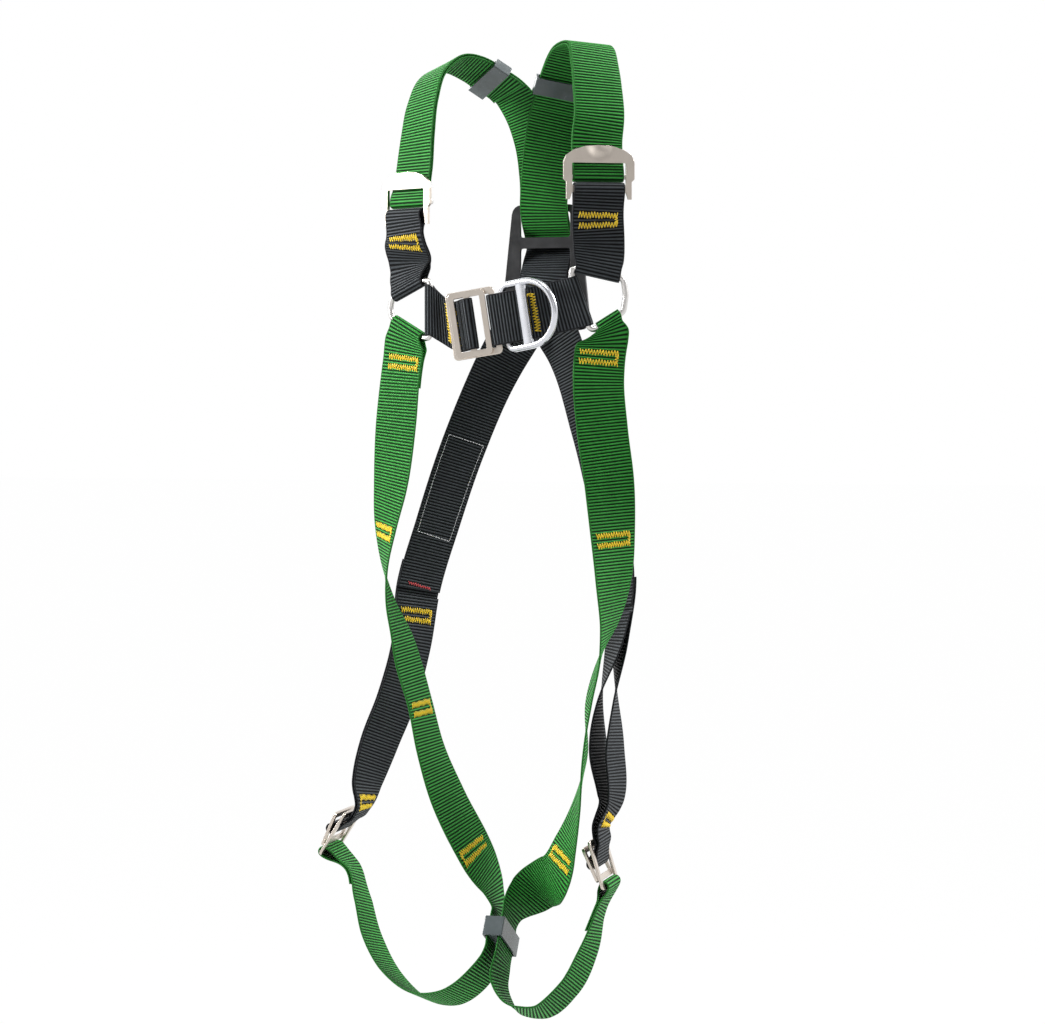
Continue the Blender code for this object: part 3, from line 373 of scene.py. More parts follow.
def grown(holder, tree, **settings):
    """Runs a geometry tree on an object and leaves the result as its plain mesh."""
    shape = holder.modifiers.new("shape", "NODES")
    shape.node_group = tree
    for item in tree.interface.items_tree:
        if item.in_out == "INPUT" and item.name.replace(" ", "_") in settings:
            shape[item.identifier] = settings[item.name.replace(" ", "_")]
    bpy.context.view_layer.update()
    ready = holder.evaluated_get(bpy.context.evaluated_depsgraph_get())
    mesh = bpy.data.meshes.new_from_object(ready)
    mesh.name = holder.name
    holder.modifiers.clear()
    holder.data = mesh
    return holder


ribs, rib_in = named_tree(
    "tape_ribs", ("Rib Pitch", "NodeSocketFloat"), ("Rib Height", "NodeSocketFloat"),
    ("Finish", "NodeSocketMaterial"),
)
along_tape = linked(ribs, "GeometryNodeInputNamedAttribute", "along", data_type="FLOAT").outputs[0]
across_tape = linked(ribs, "GeometryNodeInputNamedAttribute", "across", data_type="FLOAT").outputs[0]
count_ribs = linked(ribs, "ShaderNodeMath", along_tape, rib_in["Rib Pitch"], operation="DIVIDE").outputs[0]
turns = linked(ribs, "ShaderNodeMath", count_ribs, pi, operation="MULTIPLY").outputs[0]
wave = linked(ribs, "ShaderNodeMath", turns, operation="SINE").outputs[0]
wave = linked(ribs, "ShaderNodeMath", wave, operation="ABSOLUTE").outputs[0]
wave = linked(ribs, "ShaderNodeMath", wave, 1.0, operation="SUBTRACT").outputs[0]
off_middle = linked(ribs, "ShaderNodeMath", across_tape, operation="ABSOLUTE").outputs[0]
body = spread(ribs, off_middle, known=(selvedge_from, selvedge_full), wanted=(1.0, 0.0))
wave = linked(ribs, "ShaderNodeMath", wave, body, operation="MULTIPLY").outputs[0]
wave = linked(ribs, "ShaderNodeMath", wave, rib_in["Rib Height"], operation="MULTIPLY").outputs[0]
face_out = ribs.nodes.new("GeometryNodeInputNormal").outputs[0]
shift = linked(ribs, "ShaderNodeVectorMath", face_out, operation="SCALE")
ribs.links.new(wave, shift.inputs["Scale"])
ribbed = linked(ribs, "GeometryNodeSetPosition", rib_in["Geometry"], None, None, shift.outputs[0])
end_tree(ribs, ribbed.outputs[0], rib_in["Finish"])


def noise(tree, place, scale, detail, roughness):
    """Cloudy grain, from 0 to 1."""
    return linked(tree, "ShaderNodeTexNoise", place, scale, detail, roughness).outputs[0]


yarns = bpy.data.node_groups.new("woven_yarns", "ShaderNodeTree")
yarns.interface.new_socket("Place", in_out="INPUT", socket_type="NodeSocketVector")
yarns.interface.new_socket("Rib Pitch", in_out="INPUT", socket_type="NodeSocketFloat")
yarns.interface.new_socket("Yarn Pitch", in_out="INPUT", socket_type="NodeSocketFloat")
for label in ("Crest", "Yarn", "Edge", "Wear"):
    yarns.interface.new_socket(label, in_out="OUTPUT", socket_type="NodeSocketFloat")
yarn_in = yarns.nodes.new("NodeGroupInput").outputs
yarn_out = yarns.nodes.new("NodeGroupOutput").inputs
parts = linked(yarns, "ShaderNodeSeparateXYZ", yarn_in["Place"]).outputs
row = linked(yarns, "ShaderNodeMath", parts[0], yarn_in["Rib Pitch"], operation="DIVIDE").outputs[0]
angle = linked(yarns, "ShaderNodeMath", row, pi, operation="MULTIPLY").outputs[0]
crest = linked(yarns, "ShaderNodeMath", angle, operation="SINE").outputs[0]
crest = linked(yarns, "ShaderNodeMath", crest, operation="ABSOLUTE").outputs[0]
# Crest sets where the painted groove shade and painted crest highlight fall, and the roughness.
crest = linked(yarns, "ShaderNodeMath", crest, crest_sharpness, operation="POWER").outputs[0]
yarns.links.new(crest, yarn_out["Crest"])
row_number = linked(yarns, "ShaderNodeMath", row, operation="FLOOR").outputs[0]
stagger = linked(yarns, "ShaderNodeMath", row_number, 0.5, operation="MULTIPLY").outputs[0]
column = linked(yarns, "ShaderNodeMath", parts[1], yarn_in["Yarn Pitch"], operation="DIVIDE").outputs[0]
column = linked(yarns, "ShaderNodeMath", column, stagger, operation="ADD").outputs[0]
column = linked(yarns, "ShaderNodeMath", column, pi, operation="MULTIPLY").outputs[0]
yarn = linked(yarns, "ShaderNodeMath", column, operation="SINE").outputs[0]
yarn = linked(yarns, "ShaderNodeMath", yarn, operation="ABSOLUTE").outputs[0]
yarns.links.new(yarn, yarn_out["Yarn"])
from_middle = linked(yarns, "ShaderNodeMath", parts[1], operation="ABSOLUTE").outputs[0]
# Edge: where the plain edge of the tape takes its darker colour, partly painted shade.
selvedge_shade_span = web_half * selvedge_shade_from, web_half * selvedge_shade_full
yarns.links.new(spread(yarns, from_middle, known=selvedge_shade_span, wanted=(0.0, 1.0)), yarn_out["Edge"])
# Sheen Patches: a random cloud that makes the painted crest highlight stronger in patches.
sheen_patch_stretch = 30.0, 90.0, 1.0
stretch = linked(yarns, "ShaderNodeVectorMath", yarn_in["Place"], sheen_patch_stretch, operation="MULTIPLY")
cloud = noise(yarns, stretch.outputs[0], scale=1.0, detail=3.0, roughness=0.6)
yarns.links.new(cloud, yarn_out["Wear"])


def mixed(tree, share, low, high):
    """A colour between two, each given as a colour or as a node's output."""
    mix = linked(tree, "ShaderNodeMix", data_type="RGBA")
    for index, source in ((0, share), (6, low), (7, high)):
        if isinstance(source, bpy.types.NodeSocket):
            tree.links.new(source, mix.inputs[index])
        else:
            mix.inputs[index].default_value = (*source, 1)
    return mix.outputs[2]


def bumped(tree, shader, height, strength, depth):
    """Joins a height to a shader as slight relief."""
    bump = linked(tree, "ShaderNodeBump", strength, depth)
    tree.links.new(height, bump.inputs["Height"])
    tree.links.new(bump.outputs[0], shader.inputs["Normal"])


def webbing_finish(name, groove_shade, rib, crest_highlight, shaded_selvedge, glossy, dull, shine):
    """Woven tape: painted shade in the grooves between ribs, a painted highlight on the crests, and partly
    painted shade on the smooth plain edge.
    """
    finish, tree, shader = new_finish(name)
    place = linked(tree, "ShaderNodeUVMap", uv_map="weave").outputs[0]
    weave = tree.nodes.new("ShaderNodeGroup")
    weave.node_tree = yarns
    tree.links.new(place, weave.inputs["Place"])
    weave.inputs["Rib Pitch"].default_value = rib_pitch
    weave.inputs["Yarn Pitch"].default_value = yarn_pitch
    crest, yarn, edge, sheen_patches = (weave.outputs[label] for label in ("Crest", "Yarn", "Edge", "Wear"))
    # Painted shade: the groove colour darkens the tape between the rib crests.
    body = mixed(tree, crest, groove_shade, rib)
    # Painted highlight: a paler colour on the crest yarns, stronger in random patches.
    strength = spread(tree, sheen_patches, known=(0.35, 0.75), wanted=(0.24, 0.42))
    relief = linked(tree, "ShaderNodeMath", crest, yarn, operation="MULTIPLY").outputs[0]
    highlight_share = linked(tree, "ShaderNodeMath", strength, relief, operation="MULTIPLY").outputs[0]
    # The plain edges take the darker selvedge colour, partly their own plain weave and partly painted shade.
    bound = mixed(tree, edge, mixed(tree, highlight_share, body, crest_highlight), shaded_selvedge)
    tree.links.new(bound, shader.inputs["Base Color"])
    rough = spread(tree, crest, known=(0.0, 1.0), wanted=(dull, glossy))
    tree.links.new(rough, shader.inputs["Roughness"])
    bumped(tree, shader, relief, strength=0.5, depth=0.00018)
    shader.inputs["Specular IOR Level"].default_value = shine
    return finish


# Green tape colours: painted shade in the grooves and at the edges, a painted highlight on the crests.
green_web = webbing_finish(
    "green_webbing_finish", groove_shade=(0.0006, 0.0050, 0.0008), rib=(0.018, 0.225, 0.023),
    crest_highlight=(0.085, 0.620, 0.100), shaded_selvedge=(0.012, 0.120, 0.014), glossy=0.42, dull=0.9, shine=0.20,
)
tapes = {}


def strap(node, near, finish):
    """The woven strap that stands for a plain strap solid, begun at the end nearest to a point."""
    tapes[node] = Tape(node, near)
    piece = grown(
        tape_blank(node + "_woven", tapes[node]), ribs,
        Rib_Pitch=tapes[node].rib, Rib_Height=rib_height, Finish=finish,
    )
    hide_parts(node)
    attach(piece, "webbing")


for node, near in (
    ("left_shoulder_strap", (0.0, 0.011, 0.014)), ("right_shoulder_strap", (0.0, 0.013, 0.014)),
    ("left_front_strap", (0.085, -0.108, -0.106)), ("right_front_strap", (-0.099, -0.108, -0.101)),
):
    strap(node, near, green_web)

# Black webbing: the same tape in black.  Closed loops join the adjusters to the side rings,
# short straps carry the chest buckle, and rear and thigh straps run from plate to leg buckle.
# Black tape colours: painted shade in the grooves and at the edges, a painted pale highlight on the crests.
black_web = webbing_finish(
    "black_webbing_finish", groove_shade=(0.0006, 0.0006, 0.0008), rib=(0.024, 0.0280, 0.0325),
    crest_highlight=(0.130, 0.152, 0.165), shaded_selvedge=(0.010, 0.011, 0.013), glossy=0.42, dull=0.9, shine=0.18,
)
for node, near in (
    ("left_shoulder_loop", (0.088, -0.108, 0.02)), ("right_shoulder_loop", (-0.094, -0.108, 0.012)),
    ("chest_strap_left", (0.03, -0.115, -0.05)), ("chest_strap_right", (-0.05, -0.115, -0.055)),
    ("left_rear_strap", (0.0, 0.015, 0.025)), ("right_rear_strap", (0.0, 0.015, 0.025)),
    ("left_thigh_strap", (0.08, -0.033, -0.3)), ("right_thigh_strap", (-0.113, -0.03, -0.31)),
):
    strap(node, near, black_web)

# Sewing: yellow bar tacks, two dense zigzag bars joined at one end, hold every folded strap end.
# A white running stitch frames a bare panel on the right rear strap, above one short red bar.
# Each stitch is a length of polyester thread that arches out of the tape and back in.
sewn, sewn_in = named_tree(
    "sewn_thread", ("Thread Radius", "NodeSocketFloat"), ("Arch", "NodeSocketFloat"),
    ("Finish", "NodeSocketMaterial"),
)
runs = linked(sewn, "GeometryNodeMeshToCurve", sewn_in["Geometry"]).outputs[0]
runs = linked(sewn, "GeometryNodeResampleCurve", runs, None, 5).outputs[0]
part_way = sewn.nodes.new("GeometryNodeSplineParameter").outputs["Factor"]
half_turn = linked(sewn, "ShaderNodeMath", part_way, pi, operation="MULTIPLY").outputs[0]
arch = linked(sewn, "ShaderNodeMath", half_turn, operation="SINE").outputs[0]
arch = linked(sewn, "ShaderNodeMath", arch, sewn_in["Arch"], operation="MULTIPLY").outputs[0]
away = linked(sewn, "GeometryNodeInputNamedAttribute", "away", data_type="FLOAT_VECTOR").outputs[0]
lifted = linked(sewn, "ShaderNodeVectorMath", away, operation="SCALE")
sewn.links.new(arch, lifted.inputs["Scale"])
runs = linked(sewn, "GeometryNodeSetPosition", runs, None, None, lifted.outputs[0]).outputs[0]
strand = sewn.nodes.new("GeometryNodeCurvePrimitiveCircle")
strand.inputs["Resolution"].default_value = 6
sewn.links.new(sewn_in["Thread Radius"], strand.inputs["Radius"])
swept = linked(sewn, "GeometryNodeCurveToMesh", runs, strand.outputs[0])
swept.inputs["Fill Caps"].default_value = True
end_tree(sewn, swept.outputs[0], sewn_in["Finish"])


def thread_finish(name, colour, shade):
    """Twisted polyester thread with painted shade: random darker patches stand for the shade where its turns
    meet.
    """
    finish, tree, shader = new_finish(name)
    place = tree.nodes.new("ShaderNodeTexCoord").outputs["Object"]
    grain = noise(tree, place, scale=900.0, detail=2.0, roughness=0.5)
    # Painted shade: random darker patches of the thread colour.
    tree.links.new(mixed(tree, grain, shade, colour), shader.inputs["Base Color"])
    bumped(tree, shader, grain, strength=0.4, depth=0.0002)
    shader.inputs["Roughness"].default_value = 0.5
    return finish


def sew(name, stitches, radius, arch_height, finish):
    """Threads for a list of stitches, each a tail, a head and the side it lies on."""
    mesh = bpy.data.meshes.new(name)
    points = [tuple(end) for tail, head, _ in stitches for end in (tail, head)]
    mesh.from_pydata(points, [(2 * i, 2 * i + 1) for i in range(len(stitches))], [])
    sides = np.repeat(np.array([out for _, _, out in stitches], np.float32), 2, axis=0)
    mesh.attributes.new("away", "FLOAT_VECTOR", "POINT").data.foreach_set("vector", sides.ravel())
    holder = bpy.data.objects.new(name, mesh)
    bpy.context.scene.collection.objects.link(holder)
    grown(holder, sewn, Thread_Radius=radius, Arch=arch_height, Finish=finish)
    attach(holder, "webbing")


zigzag_leg, zigzag_waver, waver_step = 0.00125, 0.16, 2.4


def zigzag(tape, side, start, end, reach):
    """Legs of a zigzag from start to end, each place given along and across the tape."""
    start, end, reach = (np.array(v) for v in (start, end, reach))
    legs = max(2, round(np.linalg.norm(end - start) / zigzag_leg))
    spots = []
    for leg in range(legs + 1):
        swing = (1 if leg % 2 else -1) * (1 + zigzag_waver * sin(waver_step * leg))
        along, across = start + (end - start) * leg / legs + reach * swing
        spots.append(tape.at(along, across, side))
    return [(a, b, (n + m) / 2) for (a, n), (b, m) in zip(spots, spots[1:])]


layer_near, layer_far, layer_beside, layer_facing = 0.0025, 0.008, 0.004, 0.8


def far_face(tape, along, side):
    """Where a stitch through doubled tape comes out: the outer face of the other layer."""
    spot, out = tape.at(along, 0.0, side)
    depth = np.sum((tape.middle - spot) * out, axis=1)
    apart = np.linalg.norm(tape.middle - spot - depth[:, None] * out, axis=1)
    facing = -np.sum(tape.out * out, axis=1)
    doubled = (depth < -layer_near) & (depth > -layer_far)
    fits = (np.abs(facing) > layer_facing) & doubled & (apart < layer_beside)
    if not fits.any():
        return along, -side
    i = int(np.argmin(np.where(fits, apart, 1.0)))
    return tape.marks[i], 1 if facing[i] > 0 else -1


tack_long, tack_half, tack_apart = 0.034, 0.0024, 0.0085
yellow_stitches = []


def bar_tack(node, along, across, side, joined):
    """Two zigzag bars across the tape, joined at one end, on both outer faces."""
    tape = tapes[node]
    for place, face in ((along, side), far_face(tape, along, side)):
        for bar in (-0.5, 0.5):
            level = place + bar * tack_apart
            yellow_stitches.extend(zigzag(
                tape, face, (level, across - tack_long / 2), (level, across + tack_long / 2), (tack_half, 0),
            ))
        end = across + joined * (tack_long / 2 - tack_half / 2)
        yellow_stitches.extend(zigzag(
            tape, face, (place - tack_apart / 2, end), (place + tack_apart / 2, end), (0, tack_half / 2),
        ))


for node, along, across, side, joined in (
    ("left_shoulder_loop", 0.0098, 0.0, -1, 1),
    ("right_shoulder_loop", 0.0600, 0.0, 1, 1),
    ("chest_strap_right", 0.0580, 0.0, -1, 1),
    ("chest_strap_left", 0.0943, 0.0, -1, 1),
    ("right_front_strap", 0.0956, 0.002, 1, 1),
    ("right_front_strap", 0.2476, 0.0, 1, 1),
    ("right_front_strap", 0.4099, 0.0, -1, -1),
    ("right_front_strap", 0.5450, 0.002, -1, 1),
    ("left_front_strap", 0.0985, -0.001, 1, 1),
    ("left_front_strap", 0.2577, 0.0, 1, 1),
    ("left_front_strap", 0.5495, 0.0, -1, 1),
    ("right_thigh_strap", 0.0177, 0.0, 1, 1),
    ("right_thigh_strap", 0.1943, 0.0, -1, -1),
    ("left_thigh_strap", 0.2165, -0.004, -1, 1),
):
    bar_tack(node, along, across, side, joined)
yellow = thread_finish("yellow_thread", (0.92, 0.68, 0.03), (0.72, 0.47, 0.012))
sew("bar_tack_threads", yellow_stitches, radius=0.00043, arch_height=0.00055, finish=yellow)

panel = [(0.2115, -0.0180), (0.2115, 0.0180), (0.3055, 0.0165), (0.3035, -0.0180)]
panel_stitch, stitch_gap = 0.0031, 0.12
white_stitches = []
rear_tape = tapes["right_rear_strap"]
for (along_0, across_0), (along_1, across_1) in zip(panel, panel[1:] + panel[:1]):
    stitch_count = round(np.hypot(along_1 - along_0, across_1 - across_0) / panel_stitch)
    for step in range(stitch_count):
        ends = []
        for part in (step + stitch_gap, step + 1 - stitch_gap):
            way = part / stitch_count
            ends.append(rear_tape.at(
                along_0 + (along_1 - along_0) * way, across_0 + (across_1 - across_0) * way, 1,
            ))
        white_stitches.append((ends[0][0], ends[1][0], ends[0][1]))
white = thread_finish("white_thread", (0.80, 0.80, 0.80), (0.50, 0.50, 0.52))
sew("panel_threads", white_stitches, radius=0.00030, arch_height=0.00025, finish=white)
red = thread_finish("red_thread", (0.72, 0.09, 0.10), (0.40, 0.03, 0.04))
red_stitches = zigzag(rear_tape, 1, (0.3505, -0.0125), (0.3530, 0.0115), (0.0011, 0))
sew("hip_mark_threads", red_stitches, radius=0.00042, arch_height=0.00035, finish=red)

# Steel rings: round bright-drawn wire, bent and welded shut, with a satin plated skin.
# Side rings gather shoulder, chest and front straps; the back ring hangs behind the plate.
# The wire's finish also serves the sliding bars of the adjusters.
wire_steps, wire_facets, wire_easing, outside_ring = 144, 20, 6, 0.2
brushed = bpy.data.node_groups.new("drawn_steel_grain", "ShaderNodeTree")
brushed.interface.new_socket("Place", in_out="INPUT", socket_type="NodeSocketVector")
brushed.interface.new_socket("Stretch", in_out="INPUT", socket_type="NodeSocketVector")
for label in ("Streak", "Smudge"):
    brushed.interface.new_socket(label, in_out="OUTPUT", socket_type="NodeSocketFloat")
brushed_in = brushed.nodes.new("NodeGroupInput").outputs
brushed_out = brushed.nodes.new("NodeGroupOutput").inputs
drawn = linked(
    brushed, "ShaderNodeVectorMath", brushed_in["Place"], brushed_in["Stretch"], operation="MULTIPLY",
)
streak = noise(brushed, drawn.outputs[0], scale=1.0, detail=3.0, roughness=0.6)
brushed.links.new(streak, brushed_out["Streak"])
smudge = noise(brushed, brushed_in["Place"], scale=120.0, detail=4.0, roughness=0.55)
brushed.links.new(smudge, brushed_out["Smudge"])


def steel_finish(name, colour, dark, smooth, rough, stretch):
    """Plated steel: faint drawing lines, softly smudged shine."""
    finish, tree, shader = new_finish(name)
    grain = tree.nodes.new("ShaderNodeGroup")
    grain.node_tree = brushed
    tree.links.new(tree.nodes.new("ShaderNodeTexCoord").outputs["Object"], grain.inputs["Place"])
    grain.inputs["Stretch"].default_value = stretch
    clear = spread(tree, grain.outputs["Streak"], known=(0.25, 0.75), wanted=(0.0, 1.0))
    tree.links.new(mixed(tree, clear, dark, colour), shader.inputs["Base Color"])
    shine = spread(tree, grain.outputs["Smudge"], known=(0.35, 0.7), wanted=(smooth, rough))
    tree.links.new(shine, shader.inputs["Roughness"])
    shader.inputs["Metallic"].default_value = 1.0
    bumped(tree, shader, grain.outputs["Streak"], strength=0.02, depth=0.00003)
    return finish


def own_mesh(node, name):
    """A merged copy of a solid's mesh, ready to be worked on."""
    copy = bmesh.new()
    copy.from_mesh(frame["nodes"][node].data)
    bmesh.ops.remove_doubles(copy, verts=copy.verts, dist=same_corner)
    return copy, bpy.data.meshes.new(name)


def finished(name, mesh, modifiers, finish):
    """Applies modifiers to a mesh and leaves one plain finished object."""
    holder = bpy.data.objects.new(name, mesh)
    bpy.context.scene.collection.objects.link(holder)
    for label, kind, settings in modifiers:
        worked = holder.modifiers.new(label, kind)
        for key, value in settings.items():
            setattr(worked, key, value)
    bpy.context.view_layer.update()
    plain = bpy.data.meshes.new_from_object(holder.evaluated_get(bpy.context.evaluated_depsgraph_get()))
    plain.name = name
    holder.modifiers.clear()
    holder.data = plain
    plain.materials.clear()
    plain.materials.append(finish)
    return holder


def take_over(piece, node, body):
    """The piece stands for a solid and moves with its body."""
    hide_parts(node)
    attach(piece, body)


def skinned(shape, rounds):
    """Joins a closed row of loops into a tube."""
    for index, loop in enumerate(rounds):
        ahead = rounds[(index + 1) % len(rounds)]
        for facet in range(len(loop)):
            beside = (facet + 1) % len(loop)
            shape.faces.new((loop[facet], ahead[facet], ahead[beside], loop[beside]))


def round_wire(node, finish, body):
    """A smooth round wire bent along the middle of the solid's faceted one."""
    copy, mesh = own_mesh(node, node + "_wire")
    faceted = BVHTree.FromBMesh(copy)
    corners = np.array([corner.co for corner in copy.verts])
    copy.free()
    centre = corners.mean(axis=0)
    flat = np.linalg.svd(corners - centre, full_matrices=False)[2]
    path, thin = [], []
    for step in range(wire_steps):
        angle = 2 * pi * step / wire_steps
        away = flat[0] * cos(angle) + flat[1] * sin(angle)
        inner = np.array(faceted.ray_cast(Vector(centre), Vector(away))[0])
        outer = np.array(faceted.ray_cast(Vector(centre + away * outside_ring), Vector(-away))[0])
        path.append((inner + outer) / 2)
        thin.append(np.linalg.norm(outer - inner) / 2)
    path = np.array(path)
    for _ in range(wire_easing):
        path = (np.roll(path, 1, axis=0) + 2 * path + np.roll(path, -1, axis=0)) / 4
    along = unit(np.roll(path, -1, axis=0) - np.roll(path, 1, axis=0))
    beside = unit(np.cross(along, flat[2]))
    above = np.cross(beside, along)
    wire = bmesh.new()
    rounds = []
    for index in range(wire_steps):
        loop = []
        for facet in range(wire_facets):
            angle = 2 * pi * facet / wire_facets
            loop.append(wire.verts.new(
                path[index] + min(thin) * (beside[index] * cos(angle) + above[index] * sin(angle)),
            ))
        rounds.append(loop)
    skinned(wire, rounds)
    bmesh.ops.recalc_face_normals(wire, faces=wire.faces)
    wire.to_mesh(mesh)
    wire.free()
    mesh.shade_smooth()
    take_over(finished(node + "_wire", mesh, [], finish), node, body)


wire_steel = steel_finish(
    "wire_steel", colour=(0.70, 0.68, 0.66), dark=(0.66, 0.64, 0.62), smooth=0.28, rough=0.32,
    stretch=(1500, 1500, 1500),
)
for node, body in (
    ("left_side_ring", "webbing"), ("right_side_ring", "webbing"), ("dorsal_d_ring", "dorsal_d_ring"),
):
    round_wire(node, wire_steel, body)

# Pressed steel: adjuster frames and buckle plates, stamped from sheet with rolled-over edges.
# Each adjuster frame has a shallow scoop pressed into its crown for the thumb.
# Sliding bars lie behind the adjuster frames, and webbing holds all the plates in place.
sheet_steel = steel_finish(
    "sheet_steel", colour=(0.72, 0.65, 0.58), dark=(0.66, 0.59, 0.52), smooth=0.32, rough=0.36,
    stretch=(3000, 3000, 300),
)


def rolled_edges(node, edge, finish, body, reshape=None):
    """The solid's plate with its edges rounded over."""
    copy, mesh = own_mesh(node, node + "_plate")
    bmesh.ops.dissolve_limit(copy, angle_limit=radians(1), verts=copy.verts, edges=copy.edges)
    if reshape:
        reshape(copy)
    copy.to_mesh(mesh)
    copy.free()
    mesh.shade_smooth()
    piece = finished(node + "_plate", mesh, [
        ("edge", "BEVEL", {"width": edge, "segments": 3, "limit_method": "ANGLE",
                           "angle_limit": radians(35), "use_clamp_overlap": True}),
        ("normals", "WEIGHTED_NORMAL", {"keep_sharp": False, "weight": 100}),
    ], finish)
    take_over(piece, node, body)


frame_edge, bar_edge, buckle_edge = 0.0008, 0.0007, 0.0011
scoop_reach, scoop_depth, scoop_cuts, adjuster_yaw = 0.0135, 0.0032, 8, 28
for side, yaw in (("left", adjuster_yaw), ("right", -adjuster_yaw)):
    wide = Vector((cos(radians(yaw)), sin(radians(yaw)), 0))
    front = wide.cross(Vector((0, 0, 1)))
    bar_corners = [corner.co for corner in frame["nodes"][side + "_adjuster_bar"].data.vertices]
    bar_at = sum(bar_corners, Vector()) / len(bar_corners)
    frame_corners = frame["nodes"][side + "_adjuster_frame"].data.vertices
    crown_height = max(corner.co.z for corner in frame_corners) - bar_at.z

    def press_scoop(crown, wide=wide, front=front, bar_at=bar_at, crown_height=crown_height):
        """Cuts the crown finely and presses a round hollow into it."""
        upward = Vector((0, 0, 1))
        cuts = [
            (wide * step * scoop_reach / scoop_cuts, wide)
            for step in range(-scoop_cuts - 1, scoop_cuts + 2)
        ]
        cuts += [
            (upward * (crown_height - step * scoop_reach / scoop_cuts), upward)
            for step in range(scoop_cuts + 2)
        ]
        for place, across in cuts:
            bmesh.ops.bisect_plane(
                crown, geom=crown.verts[:] + crown.edges[:] + crown.faces[:],
                plane_co=bar_at + place, plane_no=across,
            )
        for corner in crown.verts:
            off = corner.co - bar_at
            away = Vector((off.dot(wide), off.z - crown_height)).length / scoop_reach
            if away < 1:
                corner.co -= front * scoop_depth * (1 - away * away) ** 2

    rolled_edges(side + "_adjuster_frame", frame_edge, sheet_steel, "webbing", press_scoop)
    rolled_edges(side + "_adjuster_bar", bar_edge, wire_steel, side + "_adjuster_bar")
for name in ("chest_buckle", "left_leg_buckle", "right_leg_buckle"):
    rolled_edges(name + "_tongue", buckle_edge, sheet_steel, name + "_tongue")
    rolled_edges(name + "_catch", buckle_edge, sheet_steel, "webbing")

# Front ring: one forged and polished steel piece, a round bow with a flat bar across it.
# The chest strap is folded round its straight side, in the slot behind the bar.
# The ring swings on that side, and rests raised a little from the strap.
forged_steel = steel_finish(
    "forged_steel", colour=(0.70, 0.71, 0.75), dark=(0.66, 0.67, 0.71), smooth=0.20, rough=0.24,
    stretch=(1500, 1500, 1500),
)
swing = next(joint for joint in frame["joints"] if joint["name"] == "front_ring_swing")
hinge_at, strap_lean, ring_lift = Vector(swing["pos_m"]), radians(9), radians(20)
ring_along = Vector((cos(strap_lean), 0, sin(strap_lean)))
ring_up = Vector((-sin(strap_lean), 0, cos(strap_lean)))
ring_right = ring_along * cos(ring_lift) + Vector((0, -1, 0)) * sin(ring_lift)
ring_front = ring_right.cross(ring_up)
slot_reach, bow_straight, bow_half, bow_corner = 0.021, 0.005, 0.028, 0.006
bow_wire, bow_flatness, bow_facets, bow_steps, corner_steps = 0.0031, 0.96, 16, 24, 6
bow = []
for step in range(bow_steps + 1):
    angle = radians(-90 + 180 * step / bow_steps)
    bow.append((slot_reach + bow_straight + bow_half * cos(angle), bow_half * sin(angle)))
for begin, height in ((90, bow_half - bow_corner), (180, bow_corner - bow_half)):
    for step in range(corner_steps + 1):
        angle = radians(begin + 90 * step / corner_steps)
        bow.append((bow_corner + bow_corner * cos(angle), height + bow_corner * sin(angle)))
ring_mesh = bmesh.new()
rounds = []
for index, (x, y) in enumerate(bow):
    ahead, behind = Vector(bow[(index + 1) % len(bow)]), Vector(bow[index - 1])
    outward = Vector((ahead.y - behind.y, behind.x - ahead.x)).normalized()
    loop = []
    for facet in range(bow_facets):
        angle = 2 * pi * facet / bow_facets
        spot = Vector((x, y)) + outward * bow_wire * cos(angle)
        raised = bow_flatness * bow_wire * sin(angle)
        loop.append(ring_mesh.verts.new(
            hinge_at + ring_right * spot.x + ring_up * spot.y + ring_front * raised,
        ))
    rounds.append(loop)
skinned(ring_mesh, rounds)
bar_half, bar_thick, bar_round, bar_tuck = 0.0045, 0.0025, 0.0012, 0.001
bar_ends = []
for end in (-1, 1):
    loop = []
    for x, z, begin in ((-1, -1, 180), (1, -1, 270), (1, 1, 0), (-1, 1, 90)):
        for turn in range(3):
            angle = radians(begin + 45 * turn)
            spot = (
                slot_reach + x * (bar_half - bar_round) + bar_round * cos(angle),
                z * (bar_thick - bar_round) + bar_round * sin(angle),
            )
            end_at = hinge_at + ring_up * end * (bow_half - bar_tuck)
            loop.append(ring_mesh.verts.new(end_at + ring_right * spot[0] + ring_front * spot[1]))
    bar_ends.append(loop)
low_end, high_end = bar_ends
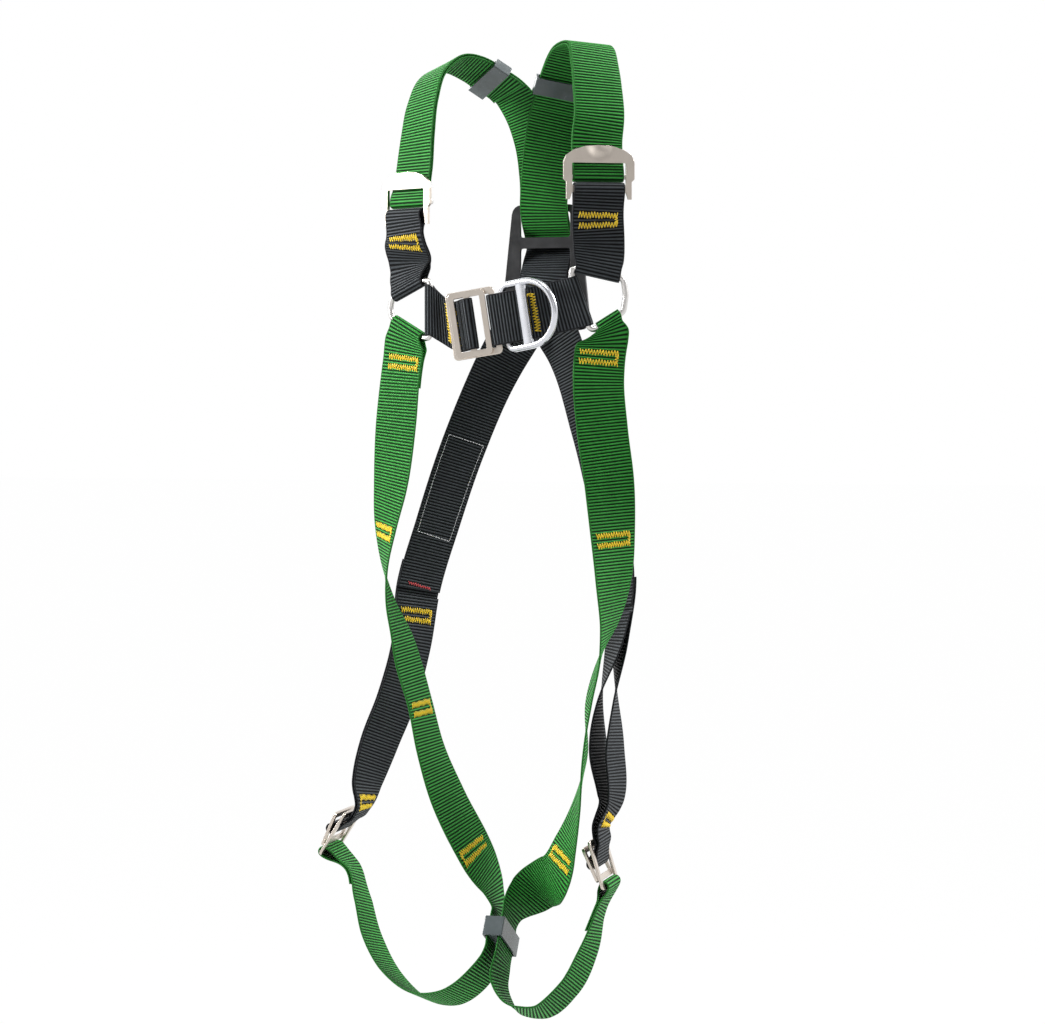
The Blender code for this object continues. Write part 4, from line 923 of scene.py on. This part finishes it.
for facet in range(len(low_end)):
    beside = (facet + 1) % len(low_end)
    ring_mesh.faces.new((low_end[facet], low_end[beside], high_end[beside], high_end[facet]))
ring_mesh.faces.new(low_end)
ring_mesh.faces.new(high_end)
bmesh.ops.recalc_face_normals(ring_mesh, faces=ring_mesh.faces)
forged = bpy.data.meshes.new("front_ring_forged")
ring_mesh.to_mesh(forged)
ring_mesh.free()
forged.shade_smooth()
forged.set_sharp_from_angle(angle=radians(50))
front_ring = finished("front_ring_forged", forged, [], forged_steel)
take_over(front_ring, "front_d_ring", "front_d_ring")

# Back plate and keepers: moulded black and dark grey plastic with softened edges and a fine matt
# skin.  The plate gathers shoulder and rear straps through two windows; sleeves hold down the
# strap tails, and the twin sleeve at the crotch keeps the leg straps together.
def plastic_finish(name, colour, pale, smooth, rough):
    """Moulded plastic with a fine spark-eroded skin and faint handling marks."""
    finish, tree, shader = new_finish(name)
    place = tree.nodes.new("ShaderNodeTexCoord").outputs["Object"]
    skin = noise(tree, place, scale=2500.0, detail=2.0, roughness=0.5)
    marks = noise(tree, place, scale=90.0, detail=4.0, roughness=0.6)
    worn = spread(tree, marks, known=(0.4, 0.75), wanted=(0.0, 1.0))
    tree.links.new(mixed(tree, worn, colour, pale), shader.inputs["Base Color"])
    shine = spread(tree, marks, known=(0.3, 0.7), wanted=(smooth, rough))
    tree.links.new(shine, shader.inputs["Roughness"])
    bumped(tree, shader, skin, strength=0.15, depth=0.0001)
    return finish


plate_edge, keeper_edge = 0.0011, 0.0005
plate_black = plastic_finish(
    "plate_black", colour=(0.012, 0.012, 0.014), pale=(0.022, 0.022, 0.025), smooth=0.32, rough=0.5,
)
keeper_grey = plastic_finish(
    "keeper_grey", colour=(0.072, 0.088, 0.092), pale=(0.090, 0.108, 0.113), smooth=0.16, rough=0.28,
)
rolled_edges("dorsal_plate", plate_edge, plate_black, "webbing")
for node in ("left_shoulder_keeper", "right_shoulder_keeper", "crotch_keeper"):
    rolled_edges(node, keeper_edge, keeper_grey, node)
